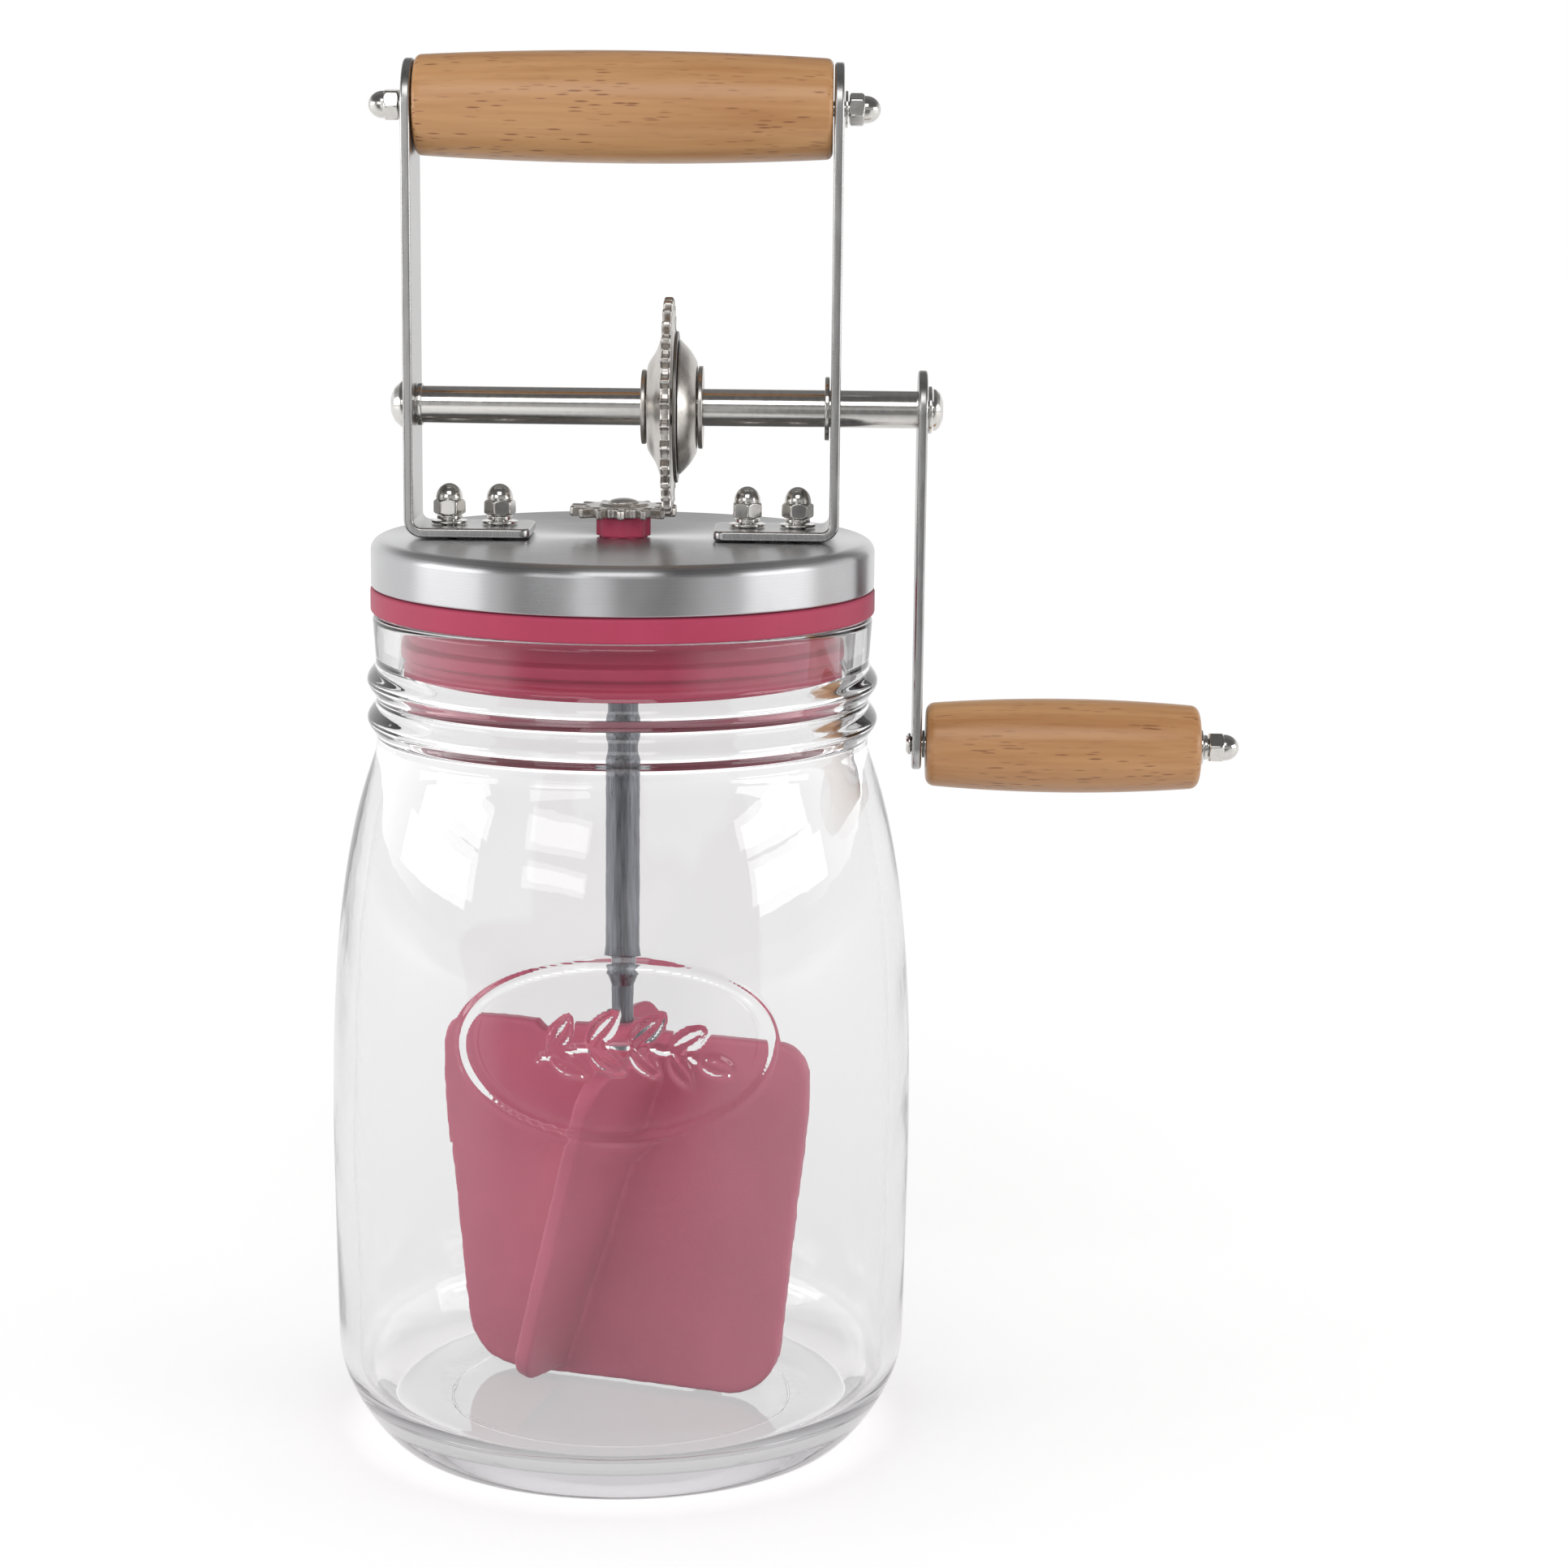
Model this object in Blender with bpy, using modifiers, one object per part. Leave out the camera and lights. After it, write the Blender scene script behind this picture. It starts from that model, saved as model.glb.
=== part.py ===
"""Hand-cranked butter churn: a wide-mouth glass jar closed by a lid that carries a
crank, a right-angle pair of stamped gears and a paddle.

Frame: metres, +Z up, origin at the jar's axis on the plane it stands on, +X to the crank.
"""

import math

import bmesh
import bpy
from mathutils import Matrix

# Clearances and cutting
SEAT_GAP = 0.00025
SHAFT_CLEARANCE = 0.0001
SCREW_CLEARANCE = 0.00025
CUT_OVERRUN = 0.003
WELD_DISTANCE = 0.000002
SHARP_ANGLE = math.radians(35)

# Round resolution, in sides
JAR_SIDES = 36
LID_SIDES = 36
SHAFT_SIDES = 24
GRIP_SIDES = 28
GEAR_SIDES = 36
SMALL_SIDES = 16
NUT_SIDES = 12
HEX_SIDES = 6

# Glass jar
JAR_HEIGHT = 0.1648
JAR_WALL = 0.0040
JAR_BASE_THICKNESS = 0.0068
JAR_BODY_RADIUS = 0.05755
JAR_WIDEST_HEIGHT = 0.0570
JAR_HEEL_DRAFT = 0.00055
JAR_HEEL_HEIGHT = 0.0190
JAR_HEEL_INSET = 0.0095
JAR_INNER_HEEL = 0.0110
RIM_RADIUS = 0.04875
RIM_STEP = 0.00055
RIM_ROUNDING = 0.0014
BEAD_COUNT = 2
BEAD_PITCH = 0.0075
BEAD_RISE = 0.00175
BEAD_TOP_DEPTH = 0.0093
SHOULDER_DEPTH = 0.0253
MOULD_RING_INSET = 0.0133
MOULD_RING_WIDTH = 0.0006
MOULD_RING_DEPTH = 0.0003
SHOULDER_START_SHARE = 0.07
SHOULDER_BEND_SHARE = 0.19
SHOULDER_SWELL_SHARE = 1.07
HEEL_CURVE_SHARES = ((1.0, 0.63), (0.42, 0.18))

# Steel cap and silicone seal
CAP_OVERHANG = 0.00025
CAP_HEIGHT = 0.00935
CAP_SHEET = 0.0008
CAP_CORNER_RADIUS = 0.0024
SEAL_BAND_HEIGHT = 0.0047
SEAL_BAND_OVERHANG = 0.00015
SEAL_PLUG_DEPTH = 0.0133
SEAL_FIT = 0.0005
SEAL_GROOVE_DEPTH = 0.0018
SEAL_RIB_STEP = 0.0005
SEAL_SCREW_POCKET_DEPTH = 0.0028
SEAL_RIM_WALL = 0.0050
SEAL_HUB_RADIUS = 0.0090
SEAL_HUB_STEP = 0.0010
SEAL_PLUG_WALL = 0.0048
SEAL_WEB = 0.0105
SEAL_BACK_DRAFT = 0.0012
SEAL_RIB_SHARES = ((0.14, 1.0), (0.33, 1.0), (0.38, 0.0), (0.54, 0.0), (0.58, 0.8), (0.67, 0.8),
                   (0.71, 0.25), (0.86, 0.25), (0.90, 1.0))

# Bent strip brackets
BRACKET_INSET = 0.0071
STRIP_THICKNESS = 0.00185
STRIP_WIDTH = 0.0176
STRIP_BEND_RADIUS = 0.0016
FOOT_LENGTH = 0.0242
FOOT_CORNER_RADIUS = 0.0020
FOOT_HOLE_EDGE_DISTANCE = 0.0064
FOOT_HOLE_SPACING = 0.0098

# Small fasteners: one thread size through the whole churn
THREAD_RADIUS = 0.0015
WASHER_RADIUS = 0.0035
WASHER_THICKNESS = 0.0005
SPRING_WASHER_WALL = 0.0007
SPRING_WASHER_THICKNESS = 0.0007
SPRING_WASHER_SLOT = 0.0006
NUT_FLATS = 0.0055
NUT_HEX_HEIGHT = 0.0029
NUT_DOME_HEIGHT = 0.0031
NUT_DOME_INSET = 0.00015
NUT_CHAMFER = 0.00025
NUT_FLOOR = 0.0018
SCREW_HEAD_RADIUS = 0.0028
SCREW_HEAD_HEIGHT = 0.0017
SCREW_HEAD_EDGE = 0.0005
SCREW_TIP_GAP = 0.0004
RECESS_WIDTH = 0.0007
RECESS_REACH_SHARE = 0.45
RECESS_DEPTH = 0.0009

# Carrying handle
HANDLE_ABOVE_SHAFT = 0.05692
HANDLE_SWELL = 0.00115
HANDLE_END_RADIUS = 0.00945
HANDLE_EDGE_RADIUS = 0.0013

# Drive shaft and its end fittings
SHAFT_RADIUS = 0.00362
SHAFT_FLAT_HALF = 0.0027
SHAFT_END_HEAD_RADIUS = 0.00465
SHAFT_END_HEAD_HEIGHT = 0.0026
SHAFT_END_HEAD_SHARES = ((0.40, 1.0), (0.72, 0.72), (0.97, 0.22))
SHAFT_SCREW_RADIUS = 0.00165
SHAFT_SCREW_LENGTH = 0.0070
SHAFT_COLLAR_WALL = 0.0004
SHAFT_COLLAR_LENGTH = 0.0009
SHAFT_WASHER_RADIUS = 0.0062
SHAFT_WASHER_THICKNESS = 0.0009
CRANK_WASHER_RADIUS = 0.0046
CRANK_WASHER_THICKNESS = 0.0007
CRANK_SCREW_HEAD_RADIUS = 0.0041
CRANK_SCREW_HEAD_HEIGHT = 0.0019
CRANK_SCREW_HEAD_SHARES = ((0.45, 1.0), (0.80, 0.68), (0.98, 0.26))

# Stamped gear pair
PINION_TEETH = 14
GEAR_TEETH = 30
TOOTH_PITCH = 0.004425
PINION_TIP_MARGIN = 0.00069
PINION_TOOTH_DEPTH = 0.00335
PINION_THICKNESS = 0.00205
PINION_HEIGHT_ABOVE_CAP = 0.0041
PINION_BOSS_RADIUS = 0.0050
PINION_BOSS_RISE = 0.00045
PINION_BOSS_SKIN = 0.0001
PINION_WEB_OVERLAP = 0.0009
GEAR_TOOTH_DEPTH = 0.0025
GEAR_RIM_THICKNESS = 0.0019
GEAR_SIDE_CLEARANCE = 0.00055
GEAR_RIM_STEP = 0.00015
GEAR_RIM_OVERLAP = 0.0012
GEAR_DISH_DEPTH = 0.0031
GEAR_DISH_SHEET = 0.0016
GEAR_HUB_RADIUS = 0.0079
GEAR_FLAT_RIM = 0.00313
GEAR_DISH_SHARES = ((0.63, 0.28), (0.38, 0.50), (0.13, 0.87))
PINION_TOOTH_SHARES = ((-0.5, 0.0), (-0.20, 0.12), (-0.13, 0.86), (0.0, 1.0), (0.13, 0.86), (0.20, 0.12))
GEAR_TOOTH_SHARES = ((-0.5, 0.0), (-0.25, 0.05), (-0.12, 0.88), (0.0, 1.0), (0.12, 0.88), (0.25, 0.05))
GEAR_WASHER_RADIUS = 0.0072
GEAR_WASHER_THICKNESS = 0.0009
BACKING_DISC_RADIUS = 0.0146
BACKING_DISC_THICKNESS = 0.0007
DOME_RADIUS = 0.0130
DOME_HEIGHT = 0.0034
DOME_SHEET = 0.0009
DOME_HUB_RADIUS = 0.0083
DOME_CURVE_SHARES = ((0.92, 0.14), (0.56, 0.60), (0.18, 0.92))
DOME_WASHER_RADIUS = 0.0080

# Spindle, its bush and the paddle
SPINDLE_RADIUS = 0.00337
SPINDLE_HEAD_RADIUS = 0.0029
SPINDLE_HEAD_RISE = 0.0009
SPINDLE_HEAD_DOME_SHARES = (0.7, 0.75)
SPINDLE_TAPER_ABOVE_PADDLE = 0.0115
SPINDLE_TAPER_LENGTH = 0.0028
SPINDLE_TANG_RADIUS = 0.0022
SPINDLE_TANG_LENGTH = 0.0150
BUSH_COLLAR_STEP = 0.0008
BUSH_FLUTE_COUNT = 8
BUSH_FLUTE_DEPTH = 0.00035
BUSH_WALL = 0.00103
BUSH_STEM_STEP = 0.00015
SPINDLE_COLLAR_WALL = 0.0021
SPINDLE_COLLAR_LENGTH = 0.0014
PADDLE_TURN = math.radians(18)
PADDLE_FIN_TURN = math.radians(24)
PADDLE_FIN_TILT = math.radians(18)
PADDLE_FIN_PIVOT_SHARE = 0.58
PADDLE_THICKNESS = 0.0034
PADDLE_TOP = 0.0810
PADDLE_FLOOR_CLEARANCE = 0.0007
PADDLE_NECK_CLEARANCE = 0.0052
PADDLE_WIDEST_SHARE = 0.82
PADDLE_FOOT_INSET = 0.0065
PADDLE_TOP_CORNER = 0.0080
PADDLE_BOTTOM_CORNER = 0.0110
PADDLE_NOTCH_OFFSET = 0.0145
PADDLE_NOTCH_RADIUS = 0.0042
PADDLE_NOTCH_DEPTH = 0.0022
PADDLE_HUB_WALL = 0.00315
PADDLE_HUB_RISE = 0.0012
PADDLE_HUB_LENGTH = 0.0200
PADDLE_HUB_TIP_RADIUS = 0.0020
FIN_TOP_INSET = 0.0060
FIN_BOTTOM_INSET = 0.0110
FIN_TOP_DROP = 0.0020
FIN_BOTTOM_RISE = 0.0045
FIN_TOP_CORNER = 0.0060
FIN_BOTTOM_CORNER = 0.0080

# Crank arm and its turning grip
CRANK_THROW = 0.0656
ARM_THICKNESS = 0.0018
ARM_SHAFT_END_RADIUS = 0.0076
ARM_GRIP_END_RADIUS = 0.0050
ARM_OUTSIDE_BRACKET = 0.0150
GRIP_LENGTH = 0.0537
GRIP_SWELL = 0.00115
GRIP_END_RADIUS = 0.0081
GRIP_EDGE_RADIUS = 0.0018
GRIP_SPACER_RADIUS = 0.0027
GRIP_SPACER_THICKNESS = 0.0004
BOLT_HEAD_RADIUS = 0.00215
BOLT_HEAD_HEIGHT = 0.0009

# Heights and stations worked out from the sizes above
JAR_HEEL_RADIUS = JAR_BODY_RADIUS - JAR_HEEL_DRAFT
JAR_FOOT_RADIUS = JAR_HEEL_RADIUS - JAR_HEEL_INSET
MOULD_RING_RADIUS = JAR_FOOT_RADIUS - MOULD_RING_INSET
NECK_RADIUS = RIM_RADIUS - RIM_STEP
NECK_BORE_RADIUS = NECK_RADIUS - JAR_WALL
CAP_RADIUS = RIM_RADIUS + CAP_OVERHANG
SEAL_BAND_RADIUS = CAP_RADIUS + SEAL_BAND_OVERHANG
SEAL_BAND_BOTTOM = JAR_HEIGHT + SEAT_GAP
SEAL_BAND_TOP = SEAL_BAND_BOTTOM + SEAL_BAND_HEIGHT
CAP_BOTTOM = SEAL_BAND_TOP + SEAT_GAP
CAP_TOP = CAP_BOTTOM + CAP_HEIGHT
CAP_INNER_TOP = CAP_TOP - CAP_SHEET
SEAL_TOP = CAP_INNER_TOP - SEAT_GAP
SEAL_PLUG_BOTTOM = JAR_HEIGHT - SEAL_PLUG_DEPTH
FOOT_BOTTOM = CAP_TOP + SEAT_GAP
FOOT_TOP = FOOT_BOTTOM + STRIP_THICKNESS
PINION_BOTTOM = CAP_TOP + PINION_HEIGHT_ABOVE_CAP
PINION_TOP = PINION_BOTTOM + PINION_THICKNESS
PINION_TIP_RADIUS = TOOTH_PITCH * PINION_TEETH / (2 * math.pi) + PINION_TIP_MARGIN
PINION_ROOT_RADIUS = PINION_TIP_RADIUS - PINION_TOOTH_DEPTH
GEAR_TIP_RADIUS = TOOTH_PITCH * GEAR_TEETH / (2 * math.pi)
GEAR_ROOT_RADIUS = GEAR_TIP_RADIUS - GEAR_TOOTH_DEPTH
GEAR_DISH_RADIUS = GEAR_ROOT_RADIUS - GEAR_FLAT_RIM
SHAFT_AXIS_HEIGHT = PINION_BOTTOM + GEAR_TIP_RADIUS
HANDLE_AXIS_HEIGHT = SHAFT_AXIS_HEIGHT + HANDLE_ABOVE_SHAFT
HANDLE_MID_RADIUS = HANDLE_END_RADIUS + HANDLE_SWELL
BRACKET_OUTER = CAP_RADIUS - BRACKET_INSET
BRACKET_INNER = BRACKET_OUTER - STRIP_THICKNESS
FASTENER_HOLE_RADIUS = THREAD_RADIUS + SCREW_CLEARANCE
SPRING_WASHER_RADIUS = FASTENER_HOLE_RADIUS + SPRING_WASHER_WALL
NUT_DOME_RADIUS = NUT_FLATS / 2 - NUT_DOME_INSET
SHAFT_HOLE_RADIUS = SHAFT_RADIUS + SHAFT_CLEARANCE
SHAFT_COLLAR_RADIUS = SHAFT_HOLE_RADIUS + SHAFT_COLLAR_WALL
NUT_HEIGHT = NUT_HEX_HEIGHT + NUT_DOME_HEIGHT
NUT_BORE_DEPTH = NUT_HEIGHT - NUT_FLOOR
SPINDLE_BORE_RADIUS = SPINDLE_RADIUS + SHAFT_CLEARANCE
SPINDLE_COLLAR_RADIUS = SPINDLE_BORE_RADIUS + SPINDLE_COLLAR_WALL
BUSH_STEM_RADIUS = SPINDLE_BORE_RADIUS + BUSH_WALL
BUSH_COLLAR_RADIUS = BUSH_STEM_RADIUS + BUSH_COLLAR_STEP
BUSH_HOLE_RADIUS = BUSH_STEM_RADIUS + SEAT_GAP
ARM_LEFT = BRACKET_OUTER + ARM_OUTSIDE_BRACKET
ARM_RIGHT = ARM_LEFT + ARM_THICKNESS
PADDLE_BOTTOM = JAR_BASE_THICKNESS + PADDLE_FLOOR_CLEARANCE
PADDLE_WIDEST_HALF = NECK_BORE_RADIUS - PADDLE_NECK_CLEARANCE
PADDLE_FOOT_HALF = PADDLE_WIDEST_HALF - PADDLE_FOOT_INSET
PADDLE_SOCKET_RADIUS = SPINDLE_TANG_RADIUS + SEAT_GAP
PADDLE_HUB_RADIUS = PADDLE_SOCKET_RADIUS + PADDLE_HUB_WALL
FIN_TOP_REACH = PADDLE_WIDEST_HALF - FIN_TOP_INSET
FIN_BOTTOM_REACH = FIN_TOP_REACH - FIN_BOTTOM_INSET
SPINDLE_TAPER_TOP = PADDLE_TOP + SPINDLE_TAPER_ABOVE_PADDLE
SPINDLE_TANG_BOTTOM = PADDLE_TOP - SPINDLE_TANG_LENGTH
GEAR_RIM_LEFT = PINION_ROOT_RADIUS + GEAR_SIDE_CLEARANCE
GEAR_RIM_RIGHT = GEAR_RIM_LEFT + GEAR_RIM_THICKNESS
GEAR_HUB_LEFT = GEAR_RIM_LEFT - GEAR_DISH_DEPTH
GEAR_HUB_RIGHT = GEAR_HUB_LEFT + GEAR_DISH_SHEET
BACKING_DISC_LEFT = GEAR_RIM_RIGHT + SEAT_GAP
DOME_LEFT = BACKING_DISC_LEFT + BACKING_DISC_THICKNESS + SEAT_GAP
DOME_RIGHT = DOME_LEFT + DOME_HEIGHT
GRIP_LEFT = ARM_RIGHT + GRIP_SPACER_THICKNESS + SEAT_GAP + SEAT_GAP
GRIP_RIGHT = GRIP_LEFT + GRIP_LENGTH
GRIP_MID_RADIUS = GRIP_END_RADIUS + GRIP_SWELL


# Materials
def make_material(name, color, roughness, metallic, transmission=0.0):
    material = bpy.data.materials.new(name)
    material.use_nodes = True
    shader = material.node_tree.nodes["Principled BSDF"]
    shader.inputs["Base Color"].default_value = (*color, 1.0)
    shader.inputs["Roughness"].default_value = roughness
    shader.inputs["Metallic"].default_value = metallic
    shader.inputs["Transmission Weight"].default_value = transmission
    material.diffuse_color = (*color, 1.0)
    material.metallic = metallic
    material.roughness = roughness
    return material


def make_materials():
    return {
        "glass": make_material("clear_glass", (0.93, 0.96, 0.96), 0.03, 0.0, 0.95),
        "brushed": make_material("brushed_steel", (0.62, 0.62, 0.63), 0.32, 1.0),
        "polished": make_material("polished_steel", (0.74, 0.73, 0.71), 0.14, 1.0),
        "satin": make_material("satin_steel", (0.40, 0.40, 0.41), 0.36, 1.0),
        "stamped": make_material("stamped_steel", (0.58, 0.56, 0.53), 0.24, 1.0),
        "dark": make_material("dark_steel", (0.10, 0.10, 0.10), 0.40, 1.0),
        "silicone": make_material("red_silicone", (0.48, 0.07, 0.11), 0.42, 0.0),
        "wood": make_material("oiled_beech", (0.55, 0.28, 0.11), 0.45, 0.0),
    }


# Scene helpers
def clear_scene():
    for item in list(bpy.data.objects):
        bpy.data.objects.remove(item, do_unlink=True)


def new_collection(name):
    collection = bpy.data.collections.new(name)
    bpy.context.scene.collection.children.link(collection)
    return collection


def joint_empty(name, parent, location):
    empty = bpy.data.objects.new(name, None)
    PARTS.objects.link(empty)
    empty.parent = parent
    empty.location = location
    return empty


def add_object(name, mesh, material, parent, location=(0, 0, 0), rotation=(0, 0, 0)):
    part = bpy.data.objects.new(name, mesh)
    PARTS.objects.link(part)
    if material and not mesh.materials:
        mesh.materials.append(material)
    part.parent = parent
    part.location = location
    part.rotation_euler = rotation
    return part


def as_cutter(part):
    PARTS.objects.unlink(part)
    CUTTERS.objects.link(part)
    part.hide_render = True
    part.display_type = "WIRE"
    return part


def boolean(part, tool, operation="DIFFERENCE"):
    modifier = part.modifiers.new("shape", "BOOLEAN")
    modifier.operation = operation
    modifier.solver = "EXACT"
    modifier.object = as_cutter(tool)


def frozen_mesh(part, name):
    """The evaluated mesh of an object, welded and free of its modifiers."""
    bpy.context.view_layer.update()
    graph = bpy.context.evaluated_depsgraph_get()
    mesh = bpy.data.meshes.new_from_object(part.evaluated_get(graph))
    mesh.name = name
    shape = bmesh.new()
    shape.from_mesh(mesh)
    bmesh.ops.remove_doubles(shape, verts=shape.verts, dist=WELD_DISTANCE)
    bmesh.ops.recalc_face_normals(shape, faces=shape.faces)
    shape.to_mesh(mesh)
    shape.free()
    return mesh


def shade_round(mesh):
    mesh.shade_smooth()
    mesh.set_sharp_from_angle(angle=SHARP_ANGLE)


# Shape helpers
def arc_points(centre, radius, start, end, steps):
    """Points on an arc from one angle to the other, both ends included."""
    angles = [start + (end - start) * step / steps for step in range(steps + 1)]
    return [(centre[0] + radius * math.cos(a), centre[1] + radius * math.sin(a)) for a in angles]


def bezier_points(p0, p1, p2, p3, steps):
    """Points inside a cubic curve, without its two ends."""
    points = []
    for step in range(1, steps):
        t = step / steps
        s = 1 - t
        weights = (s * s * s, 3 * s * s * t, 3 * s * t * t, t * t * t)
        points.append(tuple(sum(w * p[i] for w, p in zip(weights, (p0, p1, p2, p3))) for i in (0, 1)))
    return points


def rounded_corner(corner, before, after, radius, steps):
    """An arc that rounds one corner of an outline."""
    ux, uy = before[0] - corner[0], before[1] - corner[1]
    vx, vy = after[0] - corner[0], after[1] - corner[1]
    u_len, v_len = math.hypot(ux, uy), math.hypot(vx, vy)
    ux, uy, vx, vy = ux / u_len, uy / u_len, vx / v_len, vy / v_len
    half = math.acos(max(-1, min(1, ux * vx + uy * vy))) / 2
    setback = radius / math.tan(half)
    bx, by = ux + vx, uy + vy
    b_len = math.hypot(bx, by)
    reach = radius / math.sin(half)
    centre = (corner[0] + bx / b_len * reach, corner[1] + by / b_len * reach)
    start = math.atan2(corner[1] + uy * setback - centre[1], corner[0] + ux * setback - centre[0])
    end = math.atan2(corner[1] + vy * setback - centre[1], corner[0] + vx * setback - centre[0])
    if end - start > math.pi:
        end -= 2 * math.pi
    if start - end > math.pi:
        end += 2 * math.pi
    return arc_points(centre, radius, start, end, steps)


def circle_outline(radius, sides, centre=(0, 0)):
    return [(centre[0] + radius * math.cos(2 * math.pi * i / sides),
             centre[1] + radius * math.sin(2 * math.pi * i / sides)) for i in range(sides)]


def turned(name, profile, material, parent, sides, closed=False, location=(0, 0, 0), along_x=False):
    """A turned piece: a profile of (radius, height) that runs down its outer side."""
    mesh = bpy.data.meshes.new(name)
    count = len(profile)
    edges = [(i, i + 1) for i in range(count - 1)]
    if closed:
        edges.append((count - 1, 0))
    mesh.from_pydata([(radius, 0, height) for radius, height in profile], edges, [])
    rotation = (0, math.pi / 2, 0) if along_x else (0, 0, 0)
    part = add_object(name, mesh, material, parent, location, rotation)
    screw = part.modifiers.new("turn", "SCREW")
    screw.axis = "Z"
    screw.angle = 2 * math.pi
    screw.steps = sides
    screw.render_steps = sides
    screw.use_merge_vertices = True
    screw.merge_threshold = WELD_DISTANCE
    screw.use_smooth_shade = False
    return part


def finished(part):
    """Freeze a piece's modifiers into its mesh and shade it."""
    mesh = frozen_mesh(part, part.name)
    part.modifiers.clear()
    part.data = mesh
    shade_round(mesh)
    return part


def ring_profile(bore, radius, bottom, top):
    return [(bore, top), (radius, top), (radius, bottom), (bore, bottom)]


def ring(name, bore, radius, start, thickness, material, parent, sides, along_x=True):
    """A plain washer or collar that starts at a station on its axis."""
    profile = ring_profile(bore, radius, 0, thickness)
    station = (start, 0, 0) if along_x else (0, 0, start)
    return finished(turned(name, profile, material, parent, sides, True, station, along_x))


def flat_piece(name, outline, holes, thickness, material, parent, location=(0, 0, 0), rotation=(0, 0, 0)):
    """A flat piece cut to an outline, centred on its own thickness."""
    curve = bpy.data.curves.new(name, "CURVE")
    curve.dimensions = "2D"
    curve.fill_mode = "BOTH"
    curve.extrude = thickness / 2
    for loop in [outline, *holes]:
        spline = curve.splines.new("POLY")
        spline.points.add(len(loop) - 1)
        for point, (x, y) in zip(spline.points, loop):
            point.co = (x, y, 0, 1)
        spline.use_cyclic_u = True
    outline_object = bpy.data.objects.new(name, curve)
    PARTS.objects.link(outline_object)
    mesh = frozen_mesh(outline_object, name)
    bpy.data.objects.remove(outline_object, do_unlink=True)
    return add_object(name, mesh, material, parent, location, rotation)


def box_cutter(name, size, centre, parent, rotation=(0, 0, 0)):
    mesh = bpy.data.meshes.new(name)
    shape = bmesh.new()
    bmesh.ops.create_cube(shape, size=1, matrix=Matrix.Diagonal((*size, 1)))
    shape.to_mesh(mesh)
    shape.free()
    return add_object(name, mesh, None, parent, centre, rotation)


def cylinder_cutter(name, radius, depth, centre, parent, sides, rotation=(0, 0, 0)):
    mesh = bpy.data.meshes.new(name)
    shape = bmesh.new()
    bmesh.ops.create_cone(shape, cap_ends=True, segments=sides, radius1=radius, radius2=radius, depth=depth)
    shape.to_mesh(mesh)
    shape.free()
    return add_object(name, mesh, None, parent, centre, rotation)


def cross_recess(part, head_radius, tip, parent, outward):
    """Two crossed slots in a screw's head, on the shaft line; outward is the side it faces."""
    reach = head_radius * RECESS_REACH_SHARE * 2
    centre = (tip - outward * (RECESS_DEPTH - CUT_OVERRUN) / 2, 0, 0)
    depth = RECESS_DEPTH + CUT_OVERRUN
    boolean(part, box_cutter(part.name + "_slot_a", (depth, reach, RECESS_WIDTH), centre, parent))
    boolean(part, box_cutter(part.name + "_slot_b", (depth, RECESS_WIDTH, reach), centre, parent))


# The jar
def shoulder_points(top_radius, body_radius, steps):
    top = JAR_HEIGHT - SHOULDER_DEPTH
    drop = top - JAR_WIDEST_HEIGHT
    swollen = top_radius + (body_radius - top_radius) * SHOULDER_SWELL_SHARE
    return bezier_points((top_radius, top),
                         (top_radius, top - drop * SHOULDER_START_SHARE),
                         (swollen, top - drop * SHOULDER_BEND_SHARE),
                         (body_radius, JAR_WIDEST_HEIGHT), steps)


def bead_points():
    """Two rounded rings round the neck, as half waves."""
    waves = 4
    points = []
    top = JAR_HEIGHT - BEAD_TOP_DEPTH
    for step in range(BEAD_COUNT * waves + 1):
        rise = BEAD_RISE * (1 - math.cos(2 * math.pi * step / waves)) / 2
        points.append((NECK_RADIUS + rise, top - BEAD_PITCH * step / waves))
    return points


def jar_profile():
    inner_body = JAR_BODY_RADIUS - JAR_WALL
    inner_heel_radius = JAR_HEEL_RADIUS - JAR_WALL
    floor = JAR_BASE_THICKNESS
    heel = arc_points((inner_heel_radius - JAR_INNER_HEEL, floor + JAR_INNER_HEEL), JAR_INNER_HEEL,
                      -math.pi / 2, 0, 3)
    shoulder_top = JAR_HEIGHT - SHOULDER_DEPTH
    inside = [(0, floor), *heel, (inner_body, JAR_WIDEST_HEIGHT)]
    inside += list(reversed(shoulder_points(NECK_BORE_RADIUS, inner_body, 5)))
    inside += [(NECK_BORE_RADIUS, shoulder_top)]
    rim = arc_points((NECK_BORE_RADIUS + RIM_ROUNDING, JAR_HEIGHT - RIM_ROUNDING), RIM_ROUNDING,
                     math.pi, math.pi / 2, 1)
    rim += arc_points((RIM_RADIUS - RIM_ROUNDING, JAR_HEIGHT - RIM_ROUNDING), RIM_ROUNDING,
                      math.pi / 2, 0, 2)
    heel_start = (JAR_HEEL_RADIUS, JAR_HEEL_HEIGHT)
    heel_end = (JAR_FOOT_RADIUS, 0)
    heel_handles = [(JAR_FOOT_RADIUS + (JAR_HEEL_RADIUS - JAR_FOOT_RADIUS) * out, JAR_HEEL_HEIGHT * up)
                    for out, up in HEEL_CURVE_SHARES]
    outside = [*bead_points(), (NECK_RADIUS, shoulder_top)]
    outside += shoulder_points(NECK_RADIUS, JAR_BODY_RADIUS, 7)
    outside += [(JAR_BODY_RADIUS, JAR_WIDEST_HEIGHT), heel_start]
    outside += bezier_points(heel_start, *heel_handles, heel_end, 5)
    outside += [heel_end]
    mould_ring = [(MOULD_RING_RADIUS + MOULD_RING_WIDTH / 2, 0),
                  (MOULD_RING_RADIUS, MOULD_RING_DEPTH),
                  (MOULD_RING_RADIUS - MOULD_RING_WIDTH / 2, 0)]
    return [*inside, *rim, *outside, *mould_ring, (0, 0)]


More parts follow.
